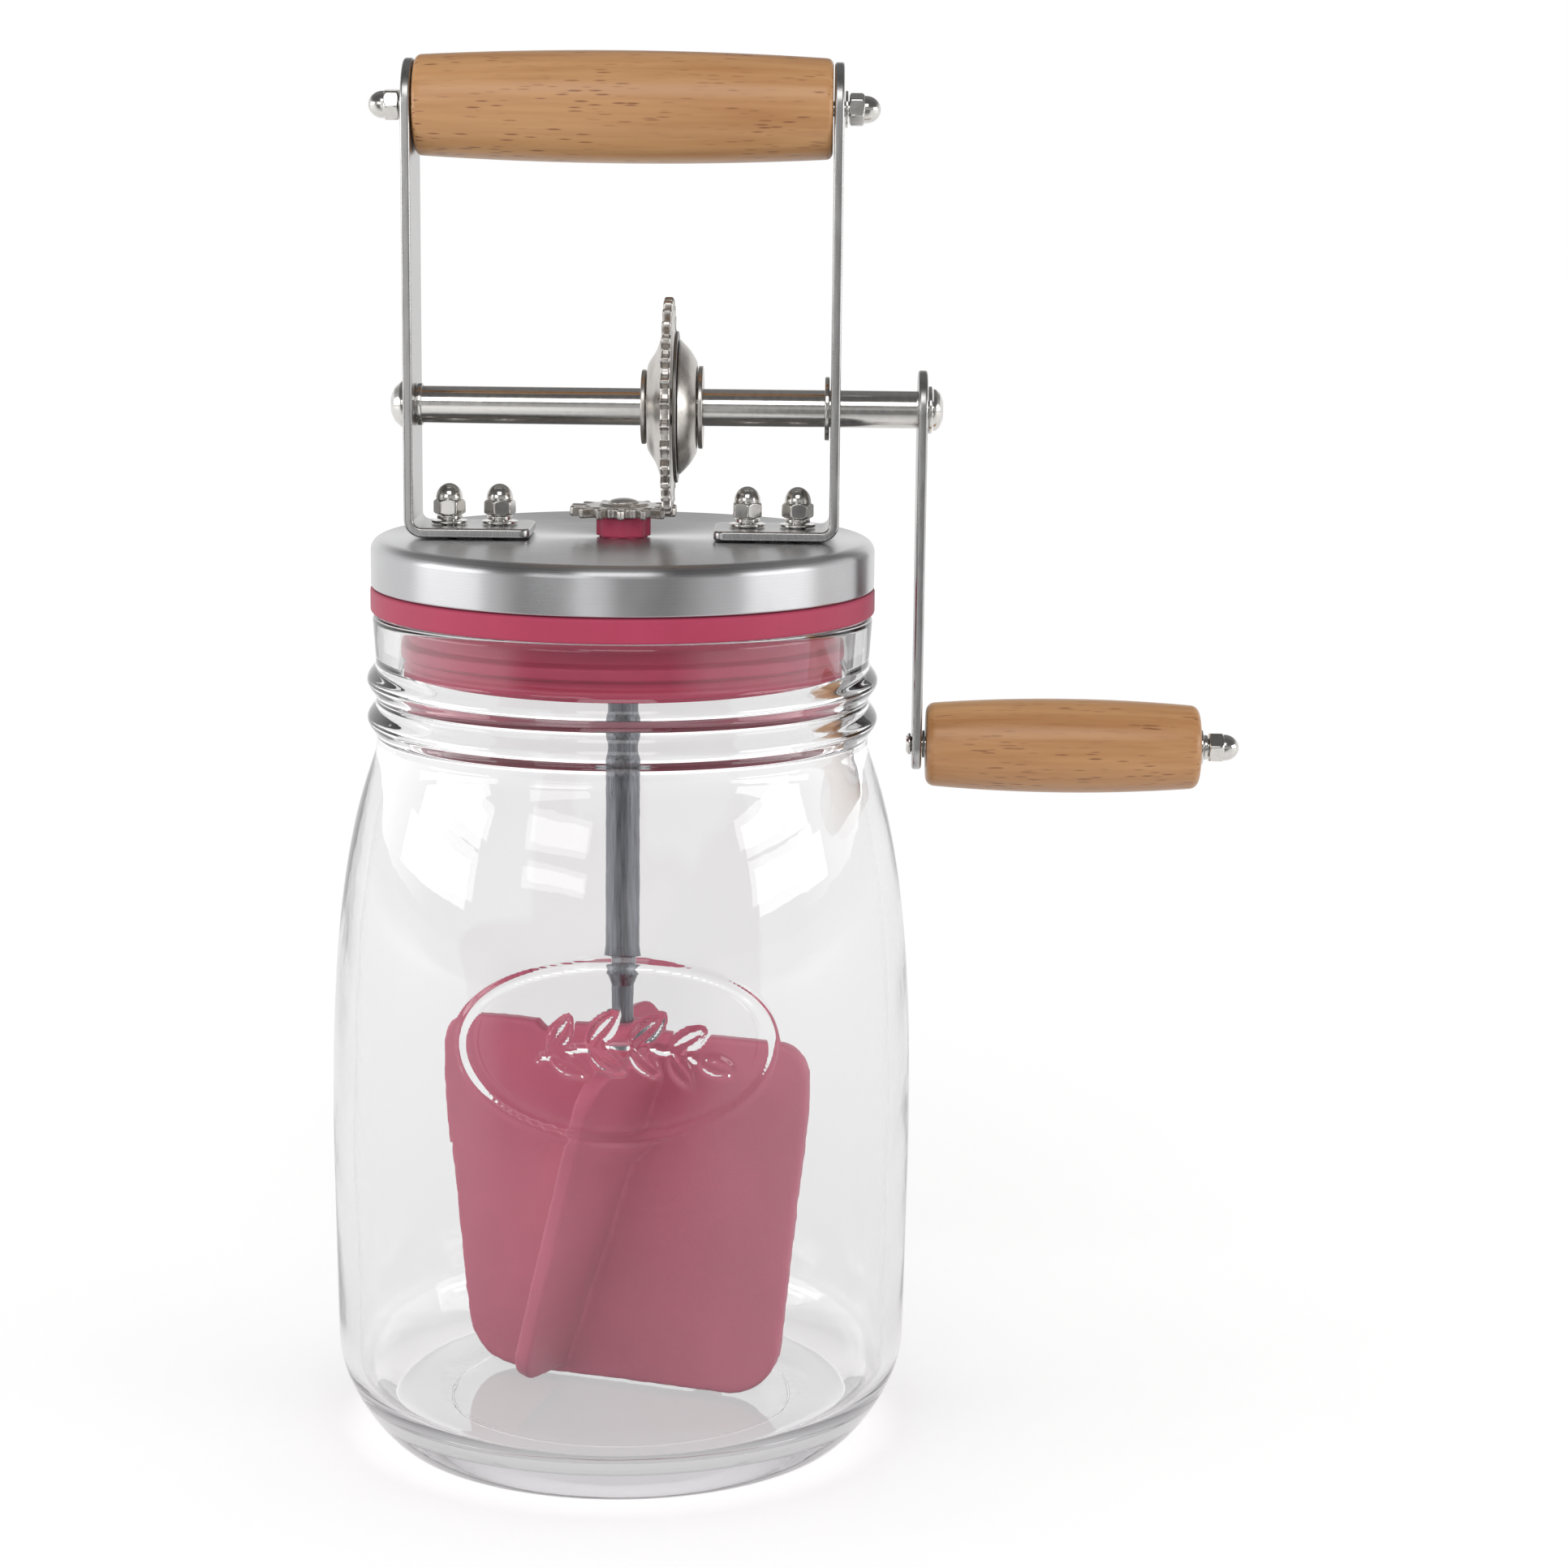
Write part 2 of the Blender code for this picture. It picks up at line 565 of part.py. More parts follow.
def build_jar(materials):
    return finished(turned("glass_jar", jar_profile(), materials["glass"], None, JAR_SIDES))


# The lid
def hole_stations():
    """Screw places along both feet, from left to right."""
    inner = BRACKET_OUTER - FOOT_LENGTH + FOOT_HOLE_EDGE_DISTANCE
    outer = inner + FOOT_HOLE_SPACING
    return [("left_outer", -outer), ("left_inner", -inner), ("right_inner", inner), ("right_outer", outer)]


def build_cap(materials, lid):
    corner = arc_points((CAP_RADIUS - CAP_CORNER_RADIUS, CAP_TOP - CAP_CORNER_RADIUS), CAP_CORNER_RADIUS,
                        math.pi / 2, 0, 3)
    inner_corner = arc_points((CAP_RADIUS - CAP_CORNER_RADIUS, CAP_TOP - CAP_CORNER_RADIUS),
                              CAP_CORNER_RADIUS - CAP_SHEET, 0, math.pi / 2, 2)
    profile = [(BUSH_HOLE_RADIUS, CAP_TOP), *corner, (CAP_RADIUS, CAP_BOTTOM),
               (CAP_RADIUS - CAP_SHEET, CAP_BOTTOM), *inner_corner, (BUSH_HOLE_RADIUS, CAP_INNER_TOP)]
    cap = turned("lid_cap", profile, materials["brushed"], lid, LID_SIDES, True)
    for name, station in hole_stations():
        centre = (station, 0, CAP_TOP - CAP_SHEET / 2)
        depth = CAP_SHEET + CUT_OVERRUN
        boolean(cap, cylinder_cutter("cap_hole_" + name, FASTENER_HOLE_RADIUS, depth, centre, lid,
                                     SMALL_SIDES))
    return finished(cap)


def build_seal(materials, lid):
    plug_radius = NECK_BORE_RADIUS - SEAL_FIT
    ribs = [(plug_radius - SEAL_GROOVE_DEPTH * depth, JAR_HEIGHT - SEAL_PLUG_DEPTH * down)
            for down, depth in SEAL_RIB_SHARES]
    inside_cap = CAP_RADIUS - CAP_SHEET - SEAT_GAP
    cap_round = CAP_CORNER_RADIUS
    pocket_floor = SEAL_TOP - SEAL_SCREW_POCKET_DEPTH
    back = SEAL_TOP - SEAL_SCREW_POCKET_DEPTH - SEAL_WEB
    plug_inner = plug_radius - SEAL_GROOVE_DEPTH - SEAL_PLUG_WALL
    hub_bottom = SEAL_PLUG_BOTTOM + SEAL_HUB_STEP
    profile = [(inside_cap - cap_round, SEAL_TOP), (inside_cap, SEAL_TOP - cap_round),
               (inside_cap, SEAL_BAND_TOP), (SEAL_BAND_RADIUS, SEAL_BAND_TOP),
               (SEAL_BAND_RADIUS, SEAL_BAND_BOTTOM), (plug_radius - SEAL_RIB_STEP, SEAL_BAND_BOTTOM),
               *ribs,
               (plug_radius - SEAL_GROOVE_DEPTH, SEAL_PLUG_BOTTOM), (plug_inner, SEAL_PLUG_BOTTOM),
               (plug_inner - SEAL_BACK_DRAFT, back), (SEAL_HUB_RADIUS + SEAL_BACK_DRAFT, back),
               (SEAL_HUB_RADIUS, hub_bottom), (BUSH_HOLE_RADIUS, hub_bottom),
               (BUSH_HOLE_RADIUS, SEAL_TOP), (SEAL_HUB_RADIUS, SEAL_TOP),
               (SEAL_HUB_RADIUS, pocket_floor), (inside_cap - SEAL_RIM_WALL, pocket_floor),
               (inside_cap - SEAL_RIM_WALL, SEAL_TOP)]
    return finished(turned("lid_seal", profile, materials["silicone"], lid, LID_SIDES, True))


def build_bush(materials, lid):
    """A fluted collar under the pinion whose stem lines the lid from top to bottom."""
    bottom = CAP_TOP + SEAT_GAP
    top = PINION_BOTTOM - SEAT_GAP
    sides = BUSH_FLUTE_COUNT * 6
    outline = []
    for step in range(sides):
        angle = 2 * math.pi * step / sides
        flute = BUSH_FLUTE_DEPTH * (1 - math.cos(BUSH_FLUTE_COUNT * angle)) / 2
        outline.append(((BUSH_COLLAR_RADIUS - flute) * math.cos(angle),
                        (BUSH_COLLAR_RADIUS - flute) * math.sin(angle)))
    core = SPINDLE_BORE_RADIUS + BUSH_WALL / 2
    collar = flat_piece("spindle_bush", outline, [circle_outline(core, SHAFT_SIDES)], top - bottom,
                        materials["silicone"], lid, (0, 0, (top + bottom) / 2))
    hub_bottom = SEAL_PLUG_BOTTOM + SEAL_HUB_STEP
    stem_top = top - BUSH_STEM_STEP
    stem = turned("bush_stem", ring_profile(SPINDLE_BORE_RADIUS, BUSH_STEM_RADIUS, hub_bottom, stem_top),
                  None, lid, SHAFT_SIDES, True)
    boolean(collar, stem, "UNION")
    return finished(collar)


# The brackets
def strip_blank():
    """Flat blank of a bracket: square end with rounded corners, round end, four holes."""
    half = STRIP_WIDTH / 2
    middle_radius = STRIP_BEND_RADIUS + STRIP_THICKNESS / 2
    bend_length = middle_radius * math.pi / 2
    outer_bend = STRIP_BEND_RADIUS + STRIP_THICKNESS
    foot_flat = FOOT_LENGTH - outer_bend
    rise_start = foot_flat + bend_length
    to_length = rise_start - (FOOT_BOTTOM + outer_bend)
    top = HANDLE_AXIS_HEIGHT + to_length
    outline = rounded_corner((0, -half), (0, 0), (foot_flat, -half), FOOT_CORNER_RADIUS, 3)
    outline += [(foot_flat, -half), (rise_start, -half)]
    outline += arc_points((top, 0), half, -math.pi / 2, math.pi / 2, 12)
    outline += [(rise_start, half), (foot_flat, half)]
    outline += rounded_corner((0, half), (foot_flat, half), (0, 0), FOOT_CORNER_RADIUS, 3)
    holes = [circle_outline(FASTENER_HOLE_RADIUS, SMALL_SIDES, (FOOT_HOLE_EDGE_DISTANCE, 0)),
             circle_outline(FASTENER_HOLE_RADIUS, SMALL_SIDES,
                            (FOOT_HOLE_EDGE_DISTANCE + FOOT_HOLE_SPACING, 0)),
             circle_outline(SHAFT_HOLE_RADIUS, SHAFT_SIDES, (SHAFT_AXIS_HEIGHT + to_length, 0)),
             circle_outline(FASTENER_HOLE_RADIUS, SMALL_SIDES, (top, 0))]
    return outline, holes, foot_flat, bend_length, middle_radius


def bend_strip(mesh, foot_flat, bend_length, middle_radius):
    """Bend the flat blank up by a right angle, as a press brake does."""
    bend_steps = 6
    shape = bmesh.new()
    shape.from_mesh(mesh)
    for step in range(bend_steps + 1):
        station = foot_flat + bend_length * step / bend_steps
        geometry = shape.verts[:] + shape.edges[:] + shape.faces[:]
        bmesh.ops.bisect_plane(shape, geom=geometry, dist=WELD_DISTANCE,
                               plane_co=(station, 0, 0), plane_no=(1, 0, 0))
    for vert in shape.verts:
        along, height = vert.co.x, vert.co.z
        turn = max(0, min(1, (along - foot_flat) / bend_length)) * math.pi / 2
        past = max(0, along - foot_flat - bend_length)
        radius = middle_radius - height
        if along > foot_flat:
            vert.co.x = foot_flat + radius * math.sin(turn)
            vert.co.z = middle_radius - radius * math.cos(turn) + past
    bmesh.ops.recalc_face_normals(shape, faces=shape.faces)
    shape.to_mesh(mesh)
    shape.free()


def build_brackets(materials, lid):
    outline, holes, foot_flat, bend_length, middle_radius = strip_blank()
    inner_end = BRACKET_OUTER - FOOT_LENGTH
    for name, turn, side in (("bracket_right", 0, 1), ("bracket_left", math.pi, -1)):
        bracket = flat_piece(name, outline, holes, STRIP_THICKNESS, materials["satin"], lid,
                             (side * inner_end, 0, FOOT_BOTTOM + STRIP_THICKNESS / 2), (0, 0, turn))
        bend_strip(bracket.data, foot_flat, bend_length, middle_radius)
        shade_round(bracket.data)


# Fasteners
def cap_nut_mesh(materials):
    """A hexagon nut closed by a dome, with a blind bore; its seat is at height zero."""
    corner = NUT_FLATS / 2 / math.cos(math.pi / HEX_SIDES)
    bore = FASTENER_HOLE_RADIUS
    dome_start = NUT_HEX_HEIGHT + NUT_CHAMFER
    dome = [(NUT_DOME_RADIUS * math.cos(a), dome_start + (NUT_HEIGHT - dome_start) * math.sin(a))
            for a in (math.radians(65), math.radians(40), 0)]
    profile = [(0, NUT_HEIGHT), *dome, (NUT_DOME_RADIUS, NUT_HEX_HEIGHT),
               (corner, NUT_HEX_HEIGHT - NUT_CHAMFER), (corner, NUT_CHAMFER), (NUT_FLATS / 2, 0), (bore, 0),
               (bore, NUT_BORE_DEPTH), (0, NUT_BORE_DEPTH)]
    template = turned("cap_nut", profile, materials["polished"], None, NUT_SIDES)
    prism = cylinder_cutter("nut_hexagon", corner, (NUT_HEIGHT + CUT_OVERRUN) * 2, (0, 0, 0), None, HEX_SIDES)
    boolean(template, prism, "INTERSECT")
    mesh = frozen_mesh(template, "cap_nut")
    shade_round(mesh)
    bpy.data.objects.remove(template, do_unlink=True)
    return mesh


def spring_washer_mesh(materials):
    """A split ring, its slot facing +X; its seat is at height zero."""
    inner = SPRING_WASHER_RADIUS - SPRING_WASHER_WALL
    outer_slot = math.asin(SPRING_WASHER_SLOT / 2 / SPRING_WASHER_RADIUS)
    inner_slot = math.asin(SPRING_WASHER_SLOT / 2 / inner)
    outline = arc_points((0, 0), SPRING_WASHER_RADIUS, outer_slot, 2 * math.pi - outer_slot, SMALL_SIDES)
    outline += arc_points((0, 0), inner, 2 * math.pi - inner_slot, inner_slot, SMALL_SIDES)
    template = flat_piece("spring_washer", outline, [], SPRING_WASHER_THICKNESS, materials["polished"], None,
                          (0, 0, 0))
    mesh = template.data
    mesh.transform(Matrix.Translation((0, 0, SPRING_WASHER_THICKNESS / 2)))
    shade_round(mesh)
    bpy.data.objects.remove(template, do_unlink=True)
    return mesh


def flat_washer_mesh(materials):
    template = turned("flat_washer", ring_profile(FASTENER_HOLE_RADIUS, WASHER_RADIUS, 0, WASHER_THICKNESS),
                      materials["polished"], None, SMALL_SIDES, True)
    mesh = frozen_mesh(template, "flat_washer")
    shade_round(mesh)
    bpy.data.objects.remove(template, do_unlink=True)
    return mesh


def foot_screw_mesh(materials, shank_length):
    """A pan-head screw, its head's seat at height zero and its shank upward."""
    profile = [(0, shank_length), (THREAD_RADIUS, shank_length), (THREAD_RADIUS, 0), (SCREW_HEAD_RADIUS, 0),
               (SCREW_HEAD_RADIUS, -SCREW_HEAD_EDGE),
               (SCREW_HEAD_RADIUS - SCREW_HEAD_EDGE, -SCREW_HEAD_HEIGHT), (0, -SCREW_HEAD_HEIGHT)]
    template = turned("foot_screw", profile, materials["polished"], None, NUT_SIDES)
    mesh = frozen_mesh(template, "foot_screw")
    shade_round(mesh)
    bpy.data.objects.remove(template, do_unlink=True)
    return mesh


def build_foot_fasteners(materials, lid):
    nut = cap_nut_mesh(materials)
    spring = spring_washer_mesh(materials)
    washer = flat_washer_mesh(materials)
    washer_seat = FOOT_TOP + SEAT_GAP
    spring_seat = washer_seat + WASHER_THICKNESS + SEAT_GAP
    nut_seat = spring_seat + SPRING_WASHER_THICKNESS + SEAT_GAP
    screw_seat = CAP_INNER_TOP - SEAT_GAP
    screw = foot_screw_mesh(materials, nut_seat + NUT_BORE_DEPTH - SCREW_TIP_GAP - screw_seat)
    for name, station in hole_stations():
        add_object("foot_screw_" + name, screw, None, lid, (station, 0, screw_seat))
        add_object("foot_washer_" + name, washer, None, lid, (station, 0, washer_seat))
        add_object("foot_spring_washer_" + name, spring, None, lid, (station, 0, spring_seat))
        add_object("foot_cap_nut_" + name, nut, None, lid, (station, 0, nut_seat))
    return nut, spring, washer


# The carrying handle
def barrel_profile(length, bore, end_radius, mid_radius, edge_radius):
    """A wooden barrel from height zero up: bored through, swelling to its middle."""
    rise = mid_radius - end_radius
    bow = ((length / 2) ** 2 + rise * rise) / (2 * rise)
    steps = 6
    side = []
    for step in range(steps + 1):
        height = length - edge_radius - (length - 2 * edge_radius) * step / steps
        offset = height - length / 2
        side.append((mid_radius - bow + math.sqrt(bow * bow - offset * offset), height))
    lip = end_radius - edge_radius
    return [(bore, length), (lip, length), *side, (lip, 0), (bore, 0)]


def build_handle(materials, lid, nut, washer):
    wood_half = BRACKET_INNER - SEAT_GAP
    centre = (-wood_half, 0, HANDLE_AXIS_HEIGHT)
    profile = barrel_profile(2 * wood_half, FASTENER_HOLE_RADIUS, HANDLE_END_RADIUS, HANDLE_MID_RADIUS,
                             HANDLE_EDGE_RADIUS)
    finished(turned("handle_grip", profile, materials["wood"], lid, GRIP_SIDES, True, centre, True))
    washer_seat = BRACKET_OUTER + SEAT_GAP
    nut_seat = washer_seat + WASHER_THICKNESS + SEAT_GAP
    rod_half = nut_seat + NUT_BORE_DEPTH - SCREW_TIP_GAP
    rod = [(0, rod_half), (THREAD_RADIUS, rod_half), (THREAD_RADIUS, -rod_half), (0, -rod_half)]
    finished(turned("handle_tie_rod", rod, materials["polished"], lid, NUT_SIDES, False,
                    (0, 0, HANDLE_AXIS_HEIGHT), True))
    for side_name, side in (("left", -1), ("right", 1)):
        facing = (0, side * math.pi / 2, 0)
        add_object("handle_washer_" + side_name, washer, None, lid,
                   (side * washer_seat, 0, HANDLE_AXIS_HEIGHT), facing)
        add_object("handle_cap_nut_" + side_name, nut, None, lid, (side * nut_seat, 0, HANDLE_AXIS_HEIGHT),
                   facing)


# The drive shaft
def build_shaft(materials, crank):
    left = -BRACKET_OUTER - SEAT_GAP
    right = ARM_RIGHT
    hole = SHAFT_SCREW_RADIUS + SCREW_CLEARANCE
    hole_depth = SHAFT_SCREW_LENGTH + SEAT_GAP
    profile = [(0, right - hole_depth), (hole, right - hole_depth), (hole, right), (SHAFT_RADIUS, right),
               (SHAFT_RADIUS, left), (hole, left), (hole, left + hole_depth), (0, left + hole_depth)]
    shaft = turned("drive_shaft", profile, materials["polished"], crank, SHAFT_SIDES, False, (0, 0, 0), True)
    flat_start = ARM_LEFT - SEAT_GAP
    flat_length = right - flat_start + CUT_OVERRUN
    flat_depth = SHAFT_RADIUS - SHAFT_FLAT_HALF + CUT_OVERRUN
    for name, side in (("shaft_flat_front", -1), ("shaft_flat_back", 1)):
        centre = (flat_start + flat_length / 2, side * (SHAFT_FLAT_HALF + flat_depth / 2), 0)
        size = (flat_length, flat_depth, 2 * (SHAFT_RADIUS + CUT_OVERRUN))
        boolean(shaft, box_cutter(name, size, centre, crank))
    return finished(shaft)


def shaft_screw(name, head_radius, head_height, head_shares, seat, outward, material, parent):
    """A rounded head with crossed slots, seated at a station, its shank inside the shaft."""
    dome = [(head_radius * out, head_height * up) for out, up in head_shares]
    shank = -(SHAFT_SCREW_LENGTH - SEAT_GAP)
    profile = [(0, head_height), *dome, (head_radius, 0), (SHAFT_SCREW_RADIUS, 0),
               (SHAFT_SCREW_RADIUS, shank), (0, shank)]
    if outward < 0:
        profile = [(radius, -height) for radius, height in reversed(profile)]
    screw = turned(name, profile, material, parent, SHAFT_SIDES, False, (seat, 0, 0), True)
    cross_recess(screw, head_radius, seat + outward * head_height, parent, outward)
    return finished(screw)


def build_shaft_fittings(materials, crank):
    ring("shaft_collar_left", SHAFT_HOLE_RADIUS, SHAFT_COLLAR_RADIUS, -BRACKET_INNER + SEAT_GAP,
         SHAFT_COLLAR_LENGTH, materials["polished"], crank, SHAFT_SIDES)
    ring("shaft_washer_right", SHAFT_HOLE_RADIUS, SHAFT_WASHER_RADIUS,
         BRACKET_INNER - SEAT_GAP - SHAFT_WASHER_THICKNESS, SHAFT_WASHER_THICKNESS, materials["polished"],
         crank, SHAFT_SIDES)
    shaft_screw("shaft_end_screw", SHAFT_END_HEAD_RADIUS, SHAFT_END_HEAD_HEIGHT, SHAFT_END_HEAD_SHARES,
                -BRACKET_OUTER - SEAT_GAP - SEAT_GAP, -1, materials["polished"], crank)
    washer_start = ARM_RIGHT + SEAT_GAP
    ring("crank_washer", SHAFT_SCREW_RADIUS + SCREW_CLEARANCE, CRANK_WASHER_RADIUS, washer_start,
         CRANK_WASHER_THICKNESS, materials["polished"], crank, SHAFT_SIDES)
    shaft_screw("crank_screw", CRANK_SCREW_HEAD_RADIUS, CRANK_SCREW_HEAD_HEIGHT, CRANK_SCREW_HEAD_SHARES,
                washer_start + CRANK_WASHER_THICKNESS + SEAT_GAP, 1, materials["polished"], crank)


# The stamped gear pair
def toothed_outline(teeth, root_radius, depth, shares, start):
    """One closed outline of rounded teeth; the first tooth is centred on the start angle."""
    points = []
    for tooth in range(teeth):
        for across, height in shares:
            angle = start + (tooth + across) * 2 * math.pi / teeth
            radius = root_radius + depth * height
            points.append((radius * math.cos(angle), radius * math.sin(angle)))
    return points


def build_drive_gear(materials, crank):
    """Thirty rounded teeth on a dished disc; local +X points down, where a tooth meets the pinion."""
    flange_radius = GEAR_ROOT_RADIUS - GEAR_RIM_STEP
    ring_bore = flange_radius - GEAR_RIM_OVERLAP
    outline = toothed_outline(GEAR_TEETH, GEAR_ROOT_RADIUS, GEAR_TOOTH_DEPTH, GEAR_TOOTH_SHARES, 0)
    gear = flat_piece("drive_gear", outline, [circle_outline(ring_bore, GEAR_SIDES)], GEAR_RIM_THICKNESS,
                      materials["stamped"], crank, ((GEAR_RIM_LEFT + GEAR_RIM_RIGHT) / 2, 0, 0),
                      (0, math.pi / 2, 0))
    rim_left = GEAR_RIM_LEFT + GEAR_RIM_STEP
    rim_right = GEAR_RIM_RIGHT - GEAR_RIM_STEP
    spread = GEAR_DISH_RADIUS - GEAR_HUB_RADIUS
    left_side = [(GEAR_HUB_RADIUS + spread * out, rim_left + (GEAR_HUB_LEFT - rim_left) * deep)
                 for out, deep in GEAR_DISH_SHARES]
    right_side = [(GEAR_HUB_RADIUS + spread * out, rim_right + (GEAR_HUB_RIGHT - rim_right) * deep)
                  for out, deep in reversed(GEAR_DISH_SHARES)]
    profile = [(SHAFT_HOLE_RADIUS, GEAR_HUB_RIGHT), (GEAR_HUB_RADIUS, GEAR_HUB_RIGHT), *right_side,
               (GEAR_DISH_RADIUS, rim_right), (flange_radius, rim_right), (flange_radius, rim_left),
               (GEAR_DISH_RADIUS, rim_left), *left_side, (GEAR_HUB_RADIUS, GEAR_HUB_LEFT),
               (SHAFT_HOLE_RADIUS, GEAR_HUB_LEFT)]
    dish = turned("gear_dish", profile, None, crank, GEAR_SIDES, True, (0, 0, 0), True)
    boolean(gear, dish, "UNION")
    return finished(gear)


def build_gear_stack(materials, crank):
    ring("gear_washer_left", SHAFT_HOLE_RADIUS, GEAR_WASHER_RADIUS,
         GEAR_HUB_LEFT - SEAT_GAP - GEAR_WASHER_THICKNESS, GEAR_WASHER_THICKNESS, materials["stamped"],
         crank, SHAFT_SIDES)
    ring("gear_backing_disc", SHAFT_HOLE_RADIUS, BACKING_DISC_RADIUS, BACKING_DISC_LEFT,
         BACKING_DISC_THICKNESS, materials["dark"], crank, SHAFT_SIDES)
    spread = DOME_RADIUS - DOME_HUB_RADIUS
    outside = [(DOME_HUB_RADIUS + spread * out, DOME_LEFT + DOME_HEIGHT * up)
               for out, up in reversed(DOME_CURVE_SHARES)]
    inside = [(DOME_HUB_RADIUS - DOME_SHEET + spread * out, DOME_LEFT + (DOME_HEIGHT - DOME_SHEET) * up)
              for out, up in DOME_CURVE_SHARES]
    profile = [(SHAFT_HOLE_RADIUS, DOME_RIGHT), (DOME_HUB_RADIUS, DOME_RIGHT), *outside,
               (DOME_RADIUS, DOME_LEFT), (DOME_RADIUS - DOME_SHEET, DOME_LEFT), *inside,
               (DOME_HUB_RADIUS - DOME_SHEET, DOME_RIGHT - DOME_SHEET),
               (SHAFT_HOLE_RADIUS, DOME_RIGHT - DOME_SHEET)]
    finished(turned("gear_dome", profile, materials["stamped"], crank, SHAFT_SIDES, True, (0, 0, 0), True))
    ring("gear_washer_right", SHAFT_HOLE_RADIUS, DOME_WASHER_RADIUS, DOME_RIGHT + SEAT_GAP,
         GEAR_WASHER_THICKNESS, materials["stamped"], crank, SHAFT_SIDES)


def build_pinion(materials, spindle):
    """Fourteen rounded teeth on a flat disc with a low boss; a tooth gap faces +X at rest."""
    outline = toothed_outline(PINION_TEETH, PINION_ROOT_RADIUS, PINION_TOOTH_DEPTH, PINION_TOOTH_SHARES,
                              math.pi / PINION_TEETH)
    bore = SPINDLE_HEAD_RADIUS + SHAFT_CLEARANCE
    web_bore = PINION_BOSS_RADIUS - PINION_WEB_OVERLAP
    pinion = flat_piece("pinion", outline, [circle_outline(web_bore, SHAFT_SIDES)], PINION_THICKNESS,
                        materials["stamped"], spindle, (0, 0, (PINION_BOTTOM + PINION_TOP) / 2))
    boss_top = PINION_TOP + PINION_BOSS_RISE
    boss_bottom = PINION_BOTTOM - PINION_BOSS_SKIN
    profile = [(bore, boss_top), (PINION_BOSS_RADIUS - PINION_BOSS_RISE, boss_top),
               (PINION_BOSS_RADIUS, PINION_TOP), (PINION_BOSS_RADIUS, boss_bottom), (bore, boss_bottom)]
    boolean(pinion, turned("pinion_boss", profile, None, spindle, SHAFT_SIDES, True), "UNION")
    return finished(pinion)


# Spindle and paddle
def build_spindle(materials, spindle):
    shoulder = PINION_BOTTOM - SEAT_GAP
    head_top = PINION_TOP + PINION_BOSS_RISE + SPINDLE_HEAD_RISE
    head_edge = PINION_TOP + PINION_BOSS_RISE
    dome_out, dome_up = SPINDLE_HEAD_DOME_SHARES
    taper_end = SPINDLE_TAPER_TOP - SPINDLE_TAPER_LENGTH
    profile = [(0, head_top), (SPINDLE_HEAD_RADIUS * dome_out, head_edge + SPINDLE_HEAD_RISE * dome_up),
               (SPINDLE_HEAD_RADIUS, head_edge), (SPINDLE_HEAD_RADIUS, shoulder), (SPINDLE_RADIUS, shoulder),
               (SPINDLE_RADIUS, SPINDLE_TAPER_TOP), (SPINDLE_TANG_RADIUS, taper_end),
               (SPINDLE_TANG_RADIUS, SPINDLE_TANG_BOTTOM), (0, SPINDLE_TANG_BOTTOM)]
    finished(turned("spindle", profile, materials["polished"], spindle, SHAFT_SIDES))
    collar_top = SEAL_PLUG_BOTTOM + SEAL_HUB_STEP - SEAT_GAP
    ring("spindle_collar", SPINDLE_BORE_RADIUS, SPINDLE_COLLAR_RADIUS, collar_top - SPINDLE_COLLAR_LENGTH,
         SPINDLE_COLLAR_LENGTH, materials["polished"], spindle, SHAFT_SIDES, False)


def blade_outline():
    """The wide blade, seen square on: slanting sides, round corners, a notch each side of the hub."""
    widest = PADDLE_BOTTOM + (PADDLE_TOP - PADDLE_BOTTOM) * PADDLE_WIDEST_SHARE
    top_corner = (PADDLE_WIDEST_HALF, PADDLE_TOP)
    side = (PADDLE_WIDEST_HALF, widest)
    bottom_corner = (PADDLE_FOOT_HALF, PADDLE_BOTTOM)
    half = rounded_corner(bottom_corner, (0, PADDLE_BOTTOM), side, PADDLE_BOTTOM_CORNER, 5)
    half += [side]
    half += rounded_corner(top_corner, side, (0, PADDLE_TOP), PADDLE_TOP_CORNER, 4)
    sink = PADDLE_NOTCH_RADIUS - PADDLE_NOTCH_DEPTH
    open_angle = math.acos(sink / PADDLE_NOTCH_RADIUS)
    notch = arc_points((PADDLE_NOTCH_OFFSET, PADDLE_TOP + sink), PADDLE_NOTCH_RADIUS,
                       -math.pi / 2 + open_angle, -math.pi / 2 - open_angle, 4)
    half += notch
    other = [(-x, y) for x, y in reversed(half)]
    return half + other


def fin_outline():
    """One tilted fin in its own plane, from inside the hub out to its free edge."""
    top = PADDLE_TOP - FIN_TOP_DROP
    top_corner = (FIN_TOP_REACH, top)
    bottom_corner = (FIN_BOTTOM_REACH, PADDLE_BOTTOM + FIN_BOTTOM_RISE)
    root = (0, PADDLE_BOTTOM + PADDLE_THICKNESS / 2)
    outline = [root]
    outline += rounded_corner(bottom_corner, root, top_corner, FIN_BOTTOM_CORNER, 4)
    outline += rounded_corner(top_corner, bottom_corner, (0, top), FIN_TOP_CORNER, 4)
    outline += [(0, top)]
    pivot = PADDLE_BOTTOM + (PADDLE_TOP - PADDLE_BOTTOM) * PADDLE_FIN_PIVOT_SHARE
    stretch = 1 / math.cos(PADDLE_FIN_TILT)
    return [(x, (y - pivot) * stretch) for x, y in outline], pivot


